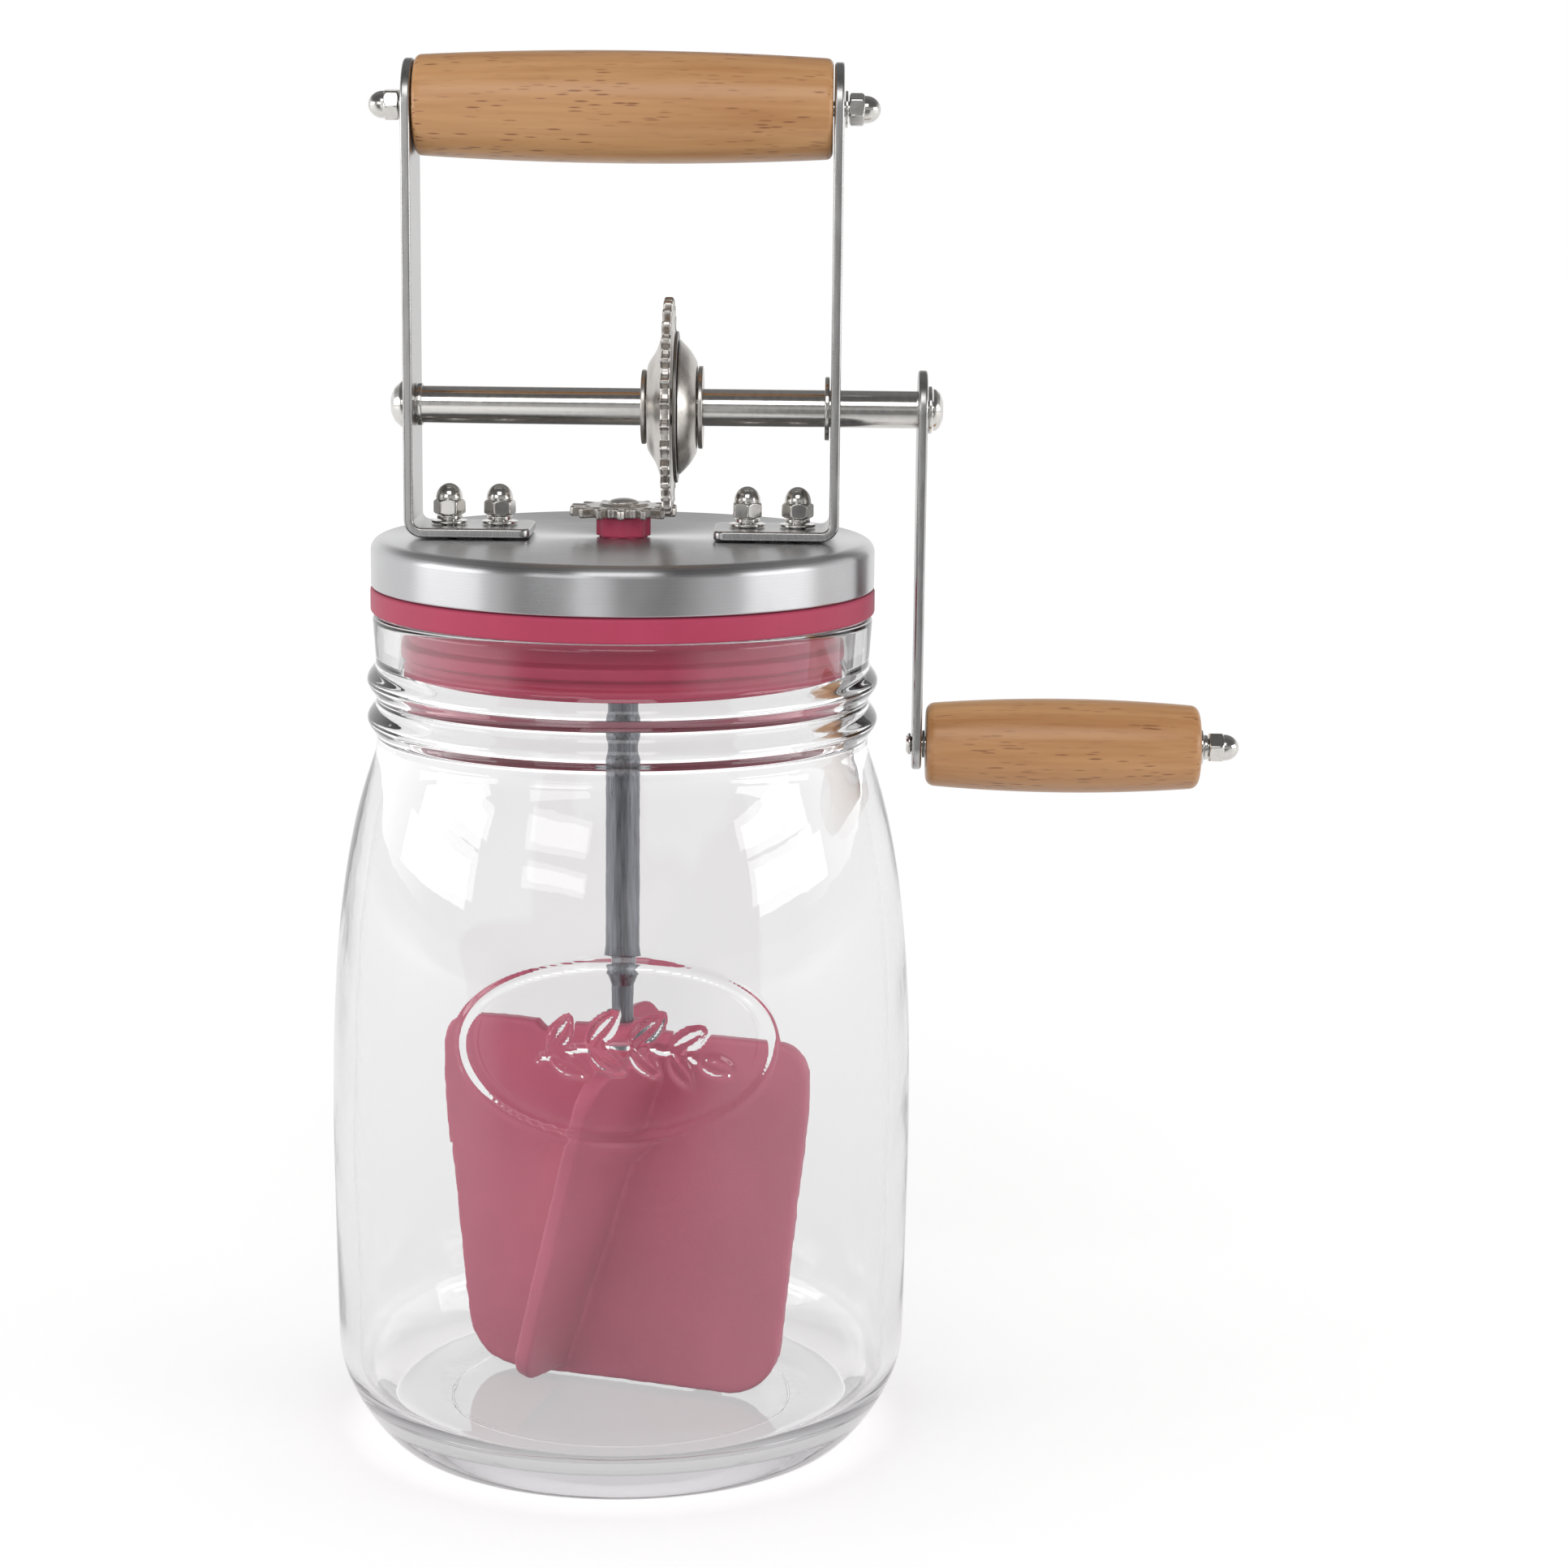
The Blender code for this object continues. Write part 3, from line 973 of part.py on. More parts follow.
def build_paddle(materials, spindle):
    """A wide upright blade, two fins tilted opposite ways on its two faces, and a hub round the tang."""
    upright = math.pi / 2
    blade = flat_piece("paddle", blade_outline(), [], PADDLE_THICKNESS, materials["silicone"], spindle,
                       (0, 0, 0), (upright, 0, -PADDLE_TURN))
    fin, pivot = fin_outline()
    for name, side in (("fin_front", 0), ("fin_back", math.pi)):
        piece = flat_piece(name, fin, [], PADDLE_THICKNESS, None, spindle, (0, 0, pivot))
        turn = Matrix.Rotation(side - math.pi / 2 - PADDLE_FIN_TURN, 4, "Z")
        tilt = Matrix.Rotation(-PADDLE_FIN_TILT, 4, "X")
        stand = Matrix.Rotation(upright, 4, "X")
        piece.data.transform(turn @ tilt @ stand)
        boolean(blade, piece, "UNION")
    hub_top = PADDLE_TOP + PADDLE_HUB_RISE
    hub_bottom = hub_top - PADDLE_HUB_LENGTH
    hub = turned("paddle_hub", [(0, hub_top), (PADDLE_HUB_RADIUS - PADDLE_HUB_RISE, hub_top),
                                (PADDLE_HUB_RADIUS, hub_top - PADDLE_HUB_RISE),
                                (PADDLE_HUB_RADIUS, hub_bottom + PADDLE_HUB_RADIUS),
                                (PADDLE_HUB_TIP_RADIUS, hub_bottom), (0, hub_bottom)],
                 None, spindle, SHAFT_SIDES)
    boolean(blade, hub, "UNION")
    socket_bottom = SPINDLE_TANG_BOTTOM - SEAT_GAP
    socket_top = hub_top + CUT_OVERRUN
    boolean(blade, cylinder_cutter("tang_socket", PADDLE_SOCKET_RADIUS, socket_top - socket_bottom,
                                   (0, 0, (socket_top + socket_bottom) / 2), spindle, SHAFT_SIDES))
    return finished(blade)


# Crank arm and grip
def build_crank_arm(materials, crank):
    """A flat strip, wide round end on the shaft's flats, narrow round end under the grip."""
    lean = math.acos((ARM_SHAFT_END_RADIUS - ARM_GRIP_END_RADIUS) / CRANK_THROW)
    outline = arc_points((0, 0), ARM_SHAFT_END_RADIUS, lean, 2 * math.pi - lean, 16)
    outline += arc_points((CRANK_THROW, 0), ARM_GRIP_END_RADIUS, -lean, lean, 12)
    flat_half = SHAFT_FLAT_HALF + SHAFT_CLEARANCE
    open_angle = math.asin(flat_half / SHAFT_HOLE_RADIUS)
    seat = arc_points((0, 0), SHAFT_HOLE_RADIUS, -open_angle, open_angle, 6)
    seat += arc_points((0, 0), SHAFT_HOLE_RADIUS, math.pi - open_angle, math.pi + open_angle, 6)
    bolt_hole = circle_outline(FASTENER_HOLE_RADIUS, SMALL_SIDES, (CRANK_THROW, 0))
    arm = flat_piece("crank_arm", outline, [seat, bolt_hole], ARM_THICKNESS, materials["satin"], crank,
                     ((ARM_LEFT + ARM_RIGHT) / 2, 0, 0), (0, math.pi / 2, 0))
    shade_round(arm.data)
    return arm


def build_grip(materials, crank, grip, nut, spring, washer):
    finished(turned("crank_grip", barrel_profile(GRIP_LENGTH, FASTENER_HOLE_RADIUS, GRIP_END_RADIUS,
                                                 GRIP_MID_RADIUS, GRIP_EDGE_RADIUS),
                    materials["wood"], grip, GRIP_SIDES, True, (GRIP_LEFT, 0, 0), True))
    axis_height = -CRANK_THROW
    spacer = turned("grip_spacer", ring_profile(FASTENER_HOLE_RADIUS, GRIP_SPACER_RADIUS, 0,
                                                GRIP_SPACER_THICKNESS),
                    materials["dark"], crank, SMALL_SIDES, True, (ARM_RIGHT + SEAT_GAP, 0, axis_height), True)
    finished(spacer)
    facing = (0, math.pi / 2, 0)
    washer_seat = GRIP_RIGHT + SEAT_GAP
    spring_seat = washer_seat + WASHER_THICKNESS + SEAT_GAP
    nut_seat = spring_seat + SPRING_WASHER_THICKNESS + SEAT_GAP
    add_object("grip_washer", washer, None, crank, (washer_seat, 0, axis_height), facing)
    add_object("grip_spring_washer", spring, None, crank, (spring_seat, 0, axis_height), facing)
    add_object("grip_cap_nut", nut, None, crank, (nut_seat, 0, axis_height), facing)
    head = ARM_LEFT - SEAT_GAP
    tip = nut_seat + NUT_BORE_DEPTH - SCREW_TIP_GAP
    profile = [(0, tip), (THREAD_RADIUS, tip), (THREAD_RADIUS, head), (BOLT_HEAD_RADIUS, head),
               (BOLT_HEAD_RADIUS, head - BOLT_HEAD_HEIGHT / 2), (THREAD_RADIUS, head - BOLT_HEAD_HEIGHT),
               (0, head - BOLT_HEAD_HEIGHT)]
    finished(turned("grip_bolt", profile, materials["polished"], crank, NUT_SIDES, False,
                    (0, 0, axis_height), True))


def build():
    materials = make_materials()
    lid = joint_empty("lid_lift_axis", None, (0, 0, 0))
    crank = joint_empty("crank_spin_axis", lid, (0, 0, SHAFT_AXIS_HEIGHT))
    spindle = joint_empty("spindle_spin_axis", lid, (0, 0, 0))
    grip = joint_empty("grip_spin_axis", crank, (0, 0, -CRANK_THROW))
    build_jar(materials)
    build_cap(materials, lid)
    build_seal(materials, lid)
    build_bush(materials, lid)
    build_brackets(materials, lid)
    nut, spring, washer = build_foot_fasteners(materials, lid)
    build_handle(materials, lid, nut, washer)
    build_shaft(materials, crank)
    build_shaft_fittings(materials, crank)
    build_drive_gear(materials, crank)
    build_gear_stack(materials, crank)
    build_pinion(materials, spindle)
    build_spindle(materials, spindle)
    build_paddle(materials, spindle)
    build_crank_arm(materials, crank)
    build_grip(materials, crank, grip, nut, spring, washer)


clear_scene()
PARTS = new_collection("butter_churn")
CUTTERS = new_collection("cutters")
build()
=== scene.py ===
from math import acos, asin, atan, atan2, cos, hypot, pi, radians, sin, sqrt, tan, tau

import bmesh
import bpy
from mathutils import Matrix, Vector


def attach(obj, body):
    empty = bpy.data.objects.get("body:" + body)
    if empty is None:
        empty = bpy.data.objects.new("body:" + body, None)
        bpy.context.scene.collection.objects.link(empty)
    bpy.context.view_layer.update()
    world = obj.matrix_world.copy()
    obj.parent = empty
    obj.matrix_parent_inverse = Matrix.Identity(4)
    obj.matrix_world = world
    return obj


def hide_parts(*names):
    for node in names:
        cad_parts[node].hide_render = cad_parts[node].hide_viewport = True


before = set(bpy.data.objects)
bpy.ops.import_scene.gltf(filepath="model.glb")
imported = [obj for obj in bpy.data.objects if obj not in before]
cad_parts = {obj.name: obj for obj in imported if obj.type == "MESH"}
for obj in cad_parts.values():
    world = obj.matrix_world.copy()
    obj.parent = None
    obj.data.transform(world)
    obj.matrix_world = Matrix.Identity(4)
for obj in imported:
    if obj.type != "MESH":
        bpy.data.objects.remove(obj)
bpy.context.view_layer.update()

# Clearances and cutting
SEAT_GAP = 0.00025
SHAFT_CLEARANCE = 0.0001
SCREW_CLEARANCE = 0.00025
CUT_OVERRUN = 0.003
HEX_SIDES = 6

# Glass jar
JAR_HEIGHT = 0.1648
JAR_WALL = 0.0040
JAR_BASE_THICKNESS = 0.0068
JAR_BODY_RADIUS = 0.05755
JAR_WIDEST_HEIGHT = 0.0570
JAR_HEEL_DRAFT = 0.00055
JAR_HEEL_HEIGHT = 0.0190
JAR_HEEL_INSET = 0.0095
JAR_INNER_HEEL = 0.0110
RIM_RADIUS = 0.04875
RIM_STEP = 0.00055
RIM_ROUNDING = 0.0014
BEAD_COUNT = 2
BEAD_PITCH = 0.0075
BEAD_RISE = 0.00175
BEAD_TOP_DEPTH = 0.0093
SHOULDER_DEPTH = 0.0253
MOULD_RING_INSET = 0.0133
MOULD_RING_WIDTH = 0.0006
MOULD_RING_DEPTH = 0.0003
SHOULDER_START_SHARE = 0.07
SHOULDER_BEND_SHARE = 0.19
SHOULDER_SWELL_SHARE = 1.07
HEEL_CURVE_SHARES = ((1.0, 0.63), (0.42, 0.18))

# Steel cap and silicone seal
CAP_OVERHANG = 0.00025
CAP_HEIGHT = 0.00935
CAP_SHEET = 0.0008
CAP_CORNER_RADIUS = 0.0024
SEAL_BAND_HEIGHT = 0.0047
SEAL_BAND_OVERHANG = 0.00015
SEAL_PLUG_DEPTH = 0.0133
SEAL_FIT = 0.0005
SEAL_GROOVE_DEPTH = 0.0018
SEAL_RIB_STEP = 0.0005
SEAL_SCREW_POCKET_DEPTH = 0.0028
SEAL_RIM_WALL = 0.0050
SEAL_HUB_RADIUS = 0.0090
SEAL_HUB_STEP = 0.0010
SEAL_PLUG_WALL = 0.0048
SEAL_WEB = 0.0105
SEAL_BACK_DRAFT = 0.0012
SEAL_RIB_SHARES = ((0.14, 1.0), (0.33, 1.0), (0.38, 0.0), (0.54, 0.0), (0.58, 0.8), (0.67, 0.8),
                   (0.71, 0.25), (0.86, 0.25), (0.90, 1.0))

# Bent strip brackets
BRACKET_INSET = 0.0071
STRIP_THICKNESS = 0.00185
STRIP_WIDTH = 0.0176
STRIP_BEND_RADIUS = 0.0016
FOOT_LENGTH = 0.0242
FOOT_CORNER_RADIUS = 0.0020
FOOT_HOLE_EDGE_DISTANCE = 0.0064
FOOT_HOLE_SPACING = 0.0098

# Small fasteners: one thread size through the whole churn
THREAD_RADIUS = 0.0015
WASHER_RADIUS = 0.0035
WASHER_THICKNESS = 0.0005
SPRING_WASHER_WALL = 0.0007
SPRING_WASHER_THICKNESS = 0.0007
SPRING_WASHER_SLOT = 0.0006
NUT_FLATS = 0.0055
NUT_HEX_HEIGHT = 0.0029
NUT_DOME_HEIGHT = 0.0031
NUT_DOME_INSET = 0.00015
NUT_CHAMFER = 0.00025
NUT_FLOOR = 0.0018
SCREW_HEAD_RADIUS = 0.0028
SCREW_HEAD_HEIGHT = 0.0017
SCREW_HEAD_EDGE = 0.0005
SCREW_TIP_GAP = 0.0004
RECESS_WIDTH = 0.0007
RECESS_REACH_SHARE = 0.45
RECESS_DEPTH = 0.0009

# Carrying handle
HANDLE_ABOVE_SHAFT = 0.05692
HANDLE_SWELL = 0.00115
HANDLE_END_RADIUS = 0.00945
HANDLE_EDGE_RADIUS = 0.0013

# Drive shaft and its end fittings
SHAFT_RADIUS = 0.00362
SHAFT_FLAT_HALF = 0.0027
SHAFT_END_HEAD_RADIUS = 0.00465
SHAFT_END_HEAD_HEIGHT = 0.0026
SHAFT_END_HEAD_SHARES = ((0.40, 1.0), (0.72, 0.72), (0.97, 0.22))
SHAFT_SCREW_RADIUS = 0.00165
SHAFT_SCREW_LENGTH = 0.0070
SHAFT_COLLAR_WALL = 0.0004
SHAFT_COLLAR_LENGTH = 0.0009
SHAFT_WASHER_RADIUS = 0.0062
SHAFT_WASHER_THICKNESS = 0.0009
CRANK_WASHER_RADIUS = 0.0046
CRANK_WASHER_THICKNESS = 0.0007
CRANK_SCREW_HEAD_RADIUS = 0.0041
CRANK_SCREW_HEAD_HEIGHT = 0.0019
CRANK_SCREW_HEAD_SHARES = ((0.45, 1.0), (0.80, 0.68), (0.98, 0.26))

# Stamped gear pair
PINION_TEETH = 14
GEAR_TEETH = 30
TOOTH_PITCH = 0.004425
PINION_TIP_MARGIN = 0.00069
PINION_TOOTH_DEPTH = 0.00335
PINION_THICKNESS = 0.00205
PINION_HEIGHT_ABOVE_CAP = 0.0041
PINION_BOSS_RADIUS = 0.0050
PINION_BOSS_RISE = 0.00045
PINION_BOSS_SKIN = 0.0001
PINION_WEB_OVERLAP = 0.0009
GEAR_TOOTH_DEPTH = 0.0025
GEAR_RIM_THICKNESS = 0.0019
GEAR_SIDE_CLEARANCE = 0.00055
GEAR_RIM_STEP = 0.00015
GEAR_RIM_OVERLAP = 0.0012
GEAR_DISH_DEPTH = 0.0031
GEAR_DISH_SHEET = 0.0016
GEAR_HUB_RADIUS = 0.0079
GEAR_FLAT_RIM = 0.00313
GEAR_DISH_SHARES = ((0.63, 0.28), (0.38, 0.50), (0.13, 0.87))
PINION_TOOTH_SHARES = ((-0.5, 0.0), (-0.20, 0.12), (-0.13, 0.86), (0.0, 1.0), (0.13, 0.86), (0.20, 0.12))
GEAR_TOOTH_SHARES = ((-0.5, 0.0), (-0.25, 0.05), (-0.12, 0.88), (0.0, 1.0), (0.12, 0.88), (0.25, 0.05))
GEAR_WASHER_RADIUS = 0.0072
GEAR_WASHER_THICKNESS = 0.0009
BACKING_DISC_RADIUS = 0.0146
BACKING_DISC_THICKNESS = 0.0007
DOME_RADIUS = 0.0130
DOME_HEIGHT = 0.0034
DOME_SHEET = 0.0009
DOME_HUB_RADIUS = 0.0083
DOME_CURVE_SHARES = ((0.92, 0.14), (0.56, 0.60), (0.18, 0.92))
DOME_WASHER_RADIUS = 0.0080

# Spindle, its bush and the paddle
SPINDLE_RADIUS = 0.00337
SPINDLE_HEAD_RADIUS = 0.0029
SPINDLE_HEAD_RISE = 0.0009
SPINDLE_TAPER_ABOVE_PADDLE = 0.0115
SPINDLE_TAPER_LENGTH = 0.0028
SPINDLE_TANG_RADIUS = 0.0022
SPINDLE_TANG_LENGTH = 0.0150
BUSH_COLLAR_STEP = 0.0008
BUSH_FLUTE_COUNT = 8
BUSH_FLUTE_DEPTH = 0.00035
BUSH_WALL = 0.00103
BUSH_STEM_STEP = 0.00015
SPINDLE_COLLAR_WALL = 0.0021
SPINDLE_COLLAR_LENGTH = 0.0014
PADDLE_TURN = radians(18)
PADDLE_FIN_TURN = radians(24)
PADDLE_FIN_TILT = radians(18)
PADDLE_FIN_PIVOT_SHARE = 0.58
PADDLE_THICKNESS = 0.0034
PADDLE_TOP = 0.0810
PADDLE_FLOOR_CLEARANCE = 0.0007
PADDLE_NECK_CLEARANCE = 0.0052
PADDLE_WIDEST_SHARE = 0.82
PADDLE_FOOT_INSET = 0.0065
PADDLE_TOP_CORNER = 0.0080
PADDLE_BOTTOM_CORNER = 0.0110
PADDLE_NOTCH_OFFSET = 0.0145
PADDLE_NOTCH_RADIUS = 0.0042
PADDLE_NOTCH_DEPTH = 0.0022
PADDLE_HUB_WALL = 0.00315
PADDLE_HUB_RISE = 0.0012
PADDLE_HUB_LENGTH = 0.0200
PADDLE_HUB_TIP_RADIUS = 0.0020
FIN_TOP_INSET = 0.0060
FIN_BOTTOM_INSET = 0.0110
FIN_TOP_DROP = 0.0020
FIN_BOTTOM_RISE = 0.0045
FIN_TOP_CORNER = 0.0060
FIN_BOTTOM_CORNER = 0.0080

# Crank arm and its turning grip
CRANK_THROW = 0.0656
ARM_THICKNESS = 0.0018
ARM_SHAFT_END_RADIUS = 0.0076
ARM_GRIP_END_RADIUS = 0.0050
ARM_OUTSIDE_BRACKET = 0.0150
GRIP_LENGTH = 0.0537
GRIP_SWELL = 0.00115
GRIP_END_RADIUS = 0.0081
GRIP_EDGE_RADIUS = 0.0018
GRIP_SPACER_RADIUS = 0.0027
GRIP_SPACER_THICKNESS = 0.0004
BOLT_HEAD_RADIUS = 0.00215
BOLT_HEAD_HEIGHT = 0.0009

# Heights and stations worked out from the sizes above
JAR_HEEL_RADIUS = JAR_BODY_RADIUS - JAR_HEEL_DRAFT
JAR_FOOT_RADIUS = JAR_HEEL_RADIUS - JAR_HEEL_INSET
MOULD_RING_RADIUS = JAR_FOOT_RADIUS - MOULD_RING_INSET
NECK_RADIUS = RIM_RADIUS - RIM_STEP
NECK_BORE_RADIUS = NECK_RADIUS - JAR_WALL
CAP_RADIUS = RIM_RADIUS + CAP_OVERHANG
SEAL_BAND_RADIUS = CAP_RADIUS + SEAL_BAND_OVERHANG
SEAL_BAND_BOTTOM = JAR_HEIGHT + SEAT_GAP
SEAL_BAND_TOP = SEAL_BAND_BOTTOM + SEAL_BAND_HEIGHT
CAP_BOTTOM = SEAL_BAND_TOP + SEAT_GAP
CAP_TOP = CAP_BOTTOM + CAP_HEIGHT
CAP_INNER_TOP = CAP_TOP - CAP_SHEET
SEAL_TOP = CAP_INNER_TOP - SEAT_GAP
SEAL_PLUG_BOTTOM = JAR_HEIGHT - SEAL_PLUG_DEPTH
SEAL_HUB_BOTTOM = SEAL_PLUG_BOTTOM + SEAL_HUB_STEP
FOOT_BOTTOM = CAP_TOP + SEAT_GAP
FOOT_TOP = FOOT_BOTTOM + STRIP_THICKNESS
PINION_BOTTOM = CAP_TOP + PINION_HEIGHT_ABOVE_CAP
PINION_TOP = PINION_BOTTOM + PINION_THICKNESS
BOSS_TOP = PINION_TOP + PINION_BOSS_RISE
PINION_TIP_RADIUS = TOOTH_PITCH * PINION_TEETH / tau + PINION_TIP_MARGIN
PINION_ROOT_RADIUS = PINION_TIP_RADIUS - PINION_TOOTH_DEPTH
GEAR_TIP_RADIUS = TOOTH_PITCH * GEAR_TEETH / tau
GEAR_ROOT_RADIUS = GEAR_TIP_RADIUS - GEAR_TOOTH_DEPTH
GEAR_DISH_RADIUS = GEAR_ROOT_RADIUS - GEAR_FLAT_RIM
SHAFT_AXIS_HEIGHT = PINION_BOTTOM + GEAR_TIP_RADIUS
HANDLE_AXIS_HEIGHT = SHAFT_AXIS_HEIGHT + HANDLE_ABOVE_SHAFT
HANDLE_MID_RADIUS = HANDLE_END_RADIUS + HANDLE_SWELL
BRACKET_OUTER = CAP_RADIUS - BRACKET_INSET
BRACKET_INNER = BRACKET_OUTER - STRIP_THICKNESS
BEND_MIDDLE_RADIUS = STRIP_BEND_RADIUS + STRIP_THICKNESS / 2
BEND_LENGTH = BEND_MIDDLE_RADIUS * pi / 2
FOOT_FLAT = FOOT_LENGTH - (STRIP_BEND_RADIUS + STRIP_THICKNESS)
FASTENER_HOLE_RADIUS = THREAD_RADIUS + SCREW_CLEARANCE
SPRING_WASHER_RADIUS = FASTENER_HOLE_RADIUS + SPRING_WASHER_WALL
NUT_DOME_RADIUS = NUT_FLATS / 2 - NUT_DOME_INSET
SHAFT_HOLE_RADIUS = SHAFT_RADIUS + SHAFT_CLEARANCE
SHAFT_COLLAR_RADIUS = SHAFT_HOLE_RADIUS + SHAFT_COLLAR_WALL
NUT_HEIGHT = NUT_HEX_HEIGHT + NUT_DOME_HEIGHT
NUT_BORE_DEPTH = NUT_HEIGHT - NUT_FLOOR
SPINDLE_BORE_RADIUS = SPINDLE_RADIUS + SHAFT_CLEARANCE
SPINDLE_COLLAR_RADIUS = SPINDLE_BORE_RADIUS + SPINDLE_COLLAR_WALL
BUSH_STEM_RADIUS = SPINDLE_BORE_RADIUS + BUSH_WALL
BUSH_COLLAR_RADIUS = BUSH_STEM_RADIUS + BUSH_COLLAR_STEP
BUSH_HOLE_RADIUS = BUSH_STEM_RADIUS + SEAT_GAP
ARM_LEFT = BRACKET_OUTER + ARM_OUTSIDE_BRACKET
ARM_RIGHT = ARM_LEFT + ARM_THICKNESS
PADDLE_BOTTOM = JAR_BASE_THICKNESS + PADDLE_FLOOR_CLEARANCE
PADDLE_WIDEST_HALF = NECK_BORE_RADIUS - PADDLE_NECK_CLEARANCE
PADDLE_FOOT_HALF = PADDLE_WIDEST_HALF - PADDLE_FOOT_INSET
PADDLE_SOCKET_RADIUS = SPINDLE_TANG_RADIUS + SEAT_GAP
PADDLE_HUB_RADIUS = PADDLE_SOCKET_RADIUS + PADDLE_HUB_WALL
FIN_TOP_REACH = PADDLE_WIDEST_HALF - FIN_TOP_INSET
FIN_BOTTOM_REACH = FIN_TOP_REACH - FIN_BOTTOM_INSET
FIN_PIVOT = PADDLE_BOTTOM + (PADDLE_TOP - PADDLE_BOTTOM) * PADDLE_FIN_PIVOT_SHARE
SPINDLE_TAPER_TOP = PADDLE_TOP + SPINDLE_TAPER_ABOVE_PADDLE
SPINDLE_TANG_BOTTOM = PADDLE_TOP - SPINDLE_TANG_LENGTH
GEAR_RIM_LEFT = PINION_ROOT_RADIUS + GEAR_SIDE_CLEARANCE
GEAR_RIM_RIGHT = GEAR_RIM_LEFT + GEAR_RIM_THICKNESS
GEAR_HUB_LEFT = GEAR_RIM_LEFT - GEAR_DISH_DEPTH
GEAR_HUB_RIGHT = GEAR_HUB_LEFT + GEAR_DISH_SHEET
BACKING_DISC_LEFT = GEAR_RIM_RIGHT + SEAT_GAP
DOME_LEFT = BACKING_DISC_LEFT + BACKING_DISC_THICKNESS + SEAT_GAP
DOME_RIGHT = DOME_LEFT + DOME_HEIGHT
GRIP_LEFT = ARM_RIGHT + GRIP_SPACER_THICKNESS + SEAT_GAP + SEAT_GAP
GRIP_RIGHT = GRIP_LEFT + GRIP_LENGTH
GRIP_MID_RADIUS = GRIP_END_RADIUS + GRIP_SWELL

# Fine sizes, which only the looks have
TINY = 0.0000001
WELD = TINY * 5
JAR_FINE_SIDES = 190
LID_FINE_SIDES = 192
ROUND_FINE_SIDES = 96
SMALL_FINE_SIDES = 64
CORNER_STEPS = 5
EDGE_STEPS = 3
RUN_STEPS = 6
WIDEST_CORNER = radians(86)
SHARPEST_CORNER = radians(3)
CORNER_ROOM = 0.49
CAP_LIP_SHARE = 0.49
SHOULDER_STEPS = 56
BUSH_FLUTE_STEPS = 16
NUT_WALL_STEPS = 16
BARREL_EDGE_ROOM = 1.1
SHARP_FINE_ANGLE = radians(50)
METAL_EDGE = 0.00022
STRIP_EDGE = 0.00048
SILICONE_EDGE = 0.0006
PADDLE_EDGE = 0.0005
PADDLE_VOXEL = 0.00045
PADDLE_SMOOTHING = 9
PADDLE_SMOOTH_SHARE = 0.5
TOOTH_ROUNDING = 0.0005
TOOTH_STEPS = 30
NUT_WALL_SOFTNESS = 68
NUT_SOFTNESS = 140
NUT_DOME_STEPS = 14
NUT_TOP_STEPS = 8
NUT_FOOT_STEPS = 6
NUT_DOME_FOOT_SHARE = 0.2
NUT_TOP_BEVEL_SHARE = 2.2
NUT_TOP_BEVEL_CURVE = 1.6
NUT_FOOT_BEVEL_SHARE = 1.6
NUT_FOOT_BEVEL_CURVE = 0.7
FOOT_NUT_TURNS = (0.0, 0.25, 0.6, 0.1)
HANDLE_NUT_TURNS = (0.4, 0.9)
GRIP_SPRING_WASHER_TURN = 1.2
GRIP_NUT_TURN = 0.35
BADGE_TURN = radians(2)
BADGE_HEIGHT = 0.0905
BADGE_HALF_WIDE = 0.0310
BADGE_HALF_TALL = 0.0165
BADGE_MARGIN = 1.06
BADGE_RISE = 0.00045
BADGE_EDGE = 0.00065
BADGE_RING_WIDTH = 0.0022
BADGE_STEM_WIDTH_SHARE = 2 / 3
BADGE_STEPS = 176
BUSH_FLUTE_SHARE = 1.8
STEM_HALF = 0.0150
STEM_ARCH = 0.0030
LEAF_STATIONS = (-0.85, -0.35, 0.15, 0.65)
LEAF_SPREAD = radians(42)
LEAF_LENGTH = 0.0092
LEAF_HALF_WIDTH = 0.0021
LEAF_GROOVE_SHARE = 0.7
LEAF_BELLY_SHARE = 0.85
LEAF_ROUNDNESS = 0.9
CAMERA_PLACE = (0.03684, -0.67063, 0.2559)
CAMERA_PAN = -0.0075
CAMERA_TILT = 0.1847
CAMERA_ROLL = 0.0108
FOCAL_PIXELS = 4256
FRAME_PIXELS = 1932
SENSOR_WIDTH = 36.0
CAMERA_REACH = (0.05, 50.0)
LAMP_DISTANCE = 1.5
FLOOR_REACH = 6.0
DARK_MIDDLE_SLOPE = 0.22
DARK_GAP_SLOPE = 0.185


# Texture work
class Nodes:
    """A node tree with short calls for the nodes it needs."""

    def __init__(self, tree):
        self.tree = tree

    def feed(self, socket, source):
        if isinstance(source, bpy.types.NodeSocket):
            self.tree.links.new(source, socket)
        else:
            socket.default_value = source

    def node(self, kind, inputs=(), **settings):
        """A new node with its settings made and its inputs fed, each by name or number."""
        made = self.tree.nodes.new(kind)
        for key, value in settings.items():
            setattr(made, key, value)
        for key, source in dict(inputs).items():
            self.feed(made.inputs[key], source)
        return made

    def math(self, operation, first, second=0.0):
        return self.node("ShaderNodeMath", {0: first, 1: second}, operation=operation).outputs[0]

    def add(self, first, second):
        return self.math("ADD", first, second)

    def times(self, first, second):
        return self.math("MULTIPLY", first, second)

    def rest(self, share):
        """What a share leaves of one."""
        return self.math("SUBTRACT", 1.0, share)

    def span(self, value, low, high, to_low=0.0, to_high=1.0, kind="LINEAR"):
        inputs = {"Value": value, "From Min": low, "From Max": high, "To Min": to_low, "To Max": to_high}
        return self.node("ShaderNodeMapRange", inputs, interpolation_type=kind).outputs["Result"]

    def parts(self, vector):
        return self.node("ShaderNodeSeparateXYZ", {0: vector}).outputs

    def length(self, vector):
        return self.node("ShaderNodeVectorMath", {0: vector}, operation="LENGTH").outputs["Value"]


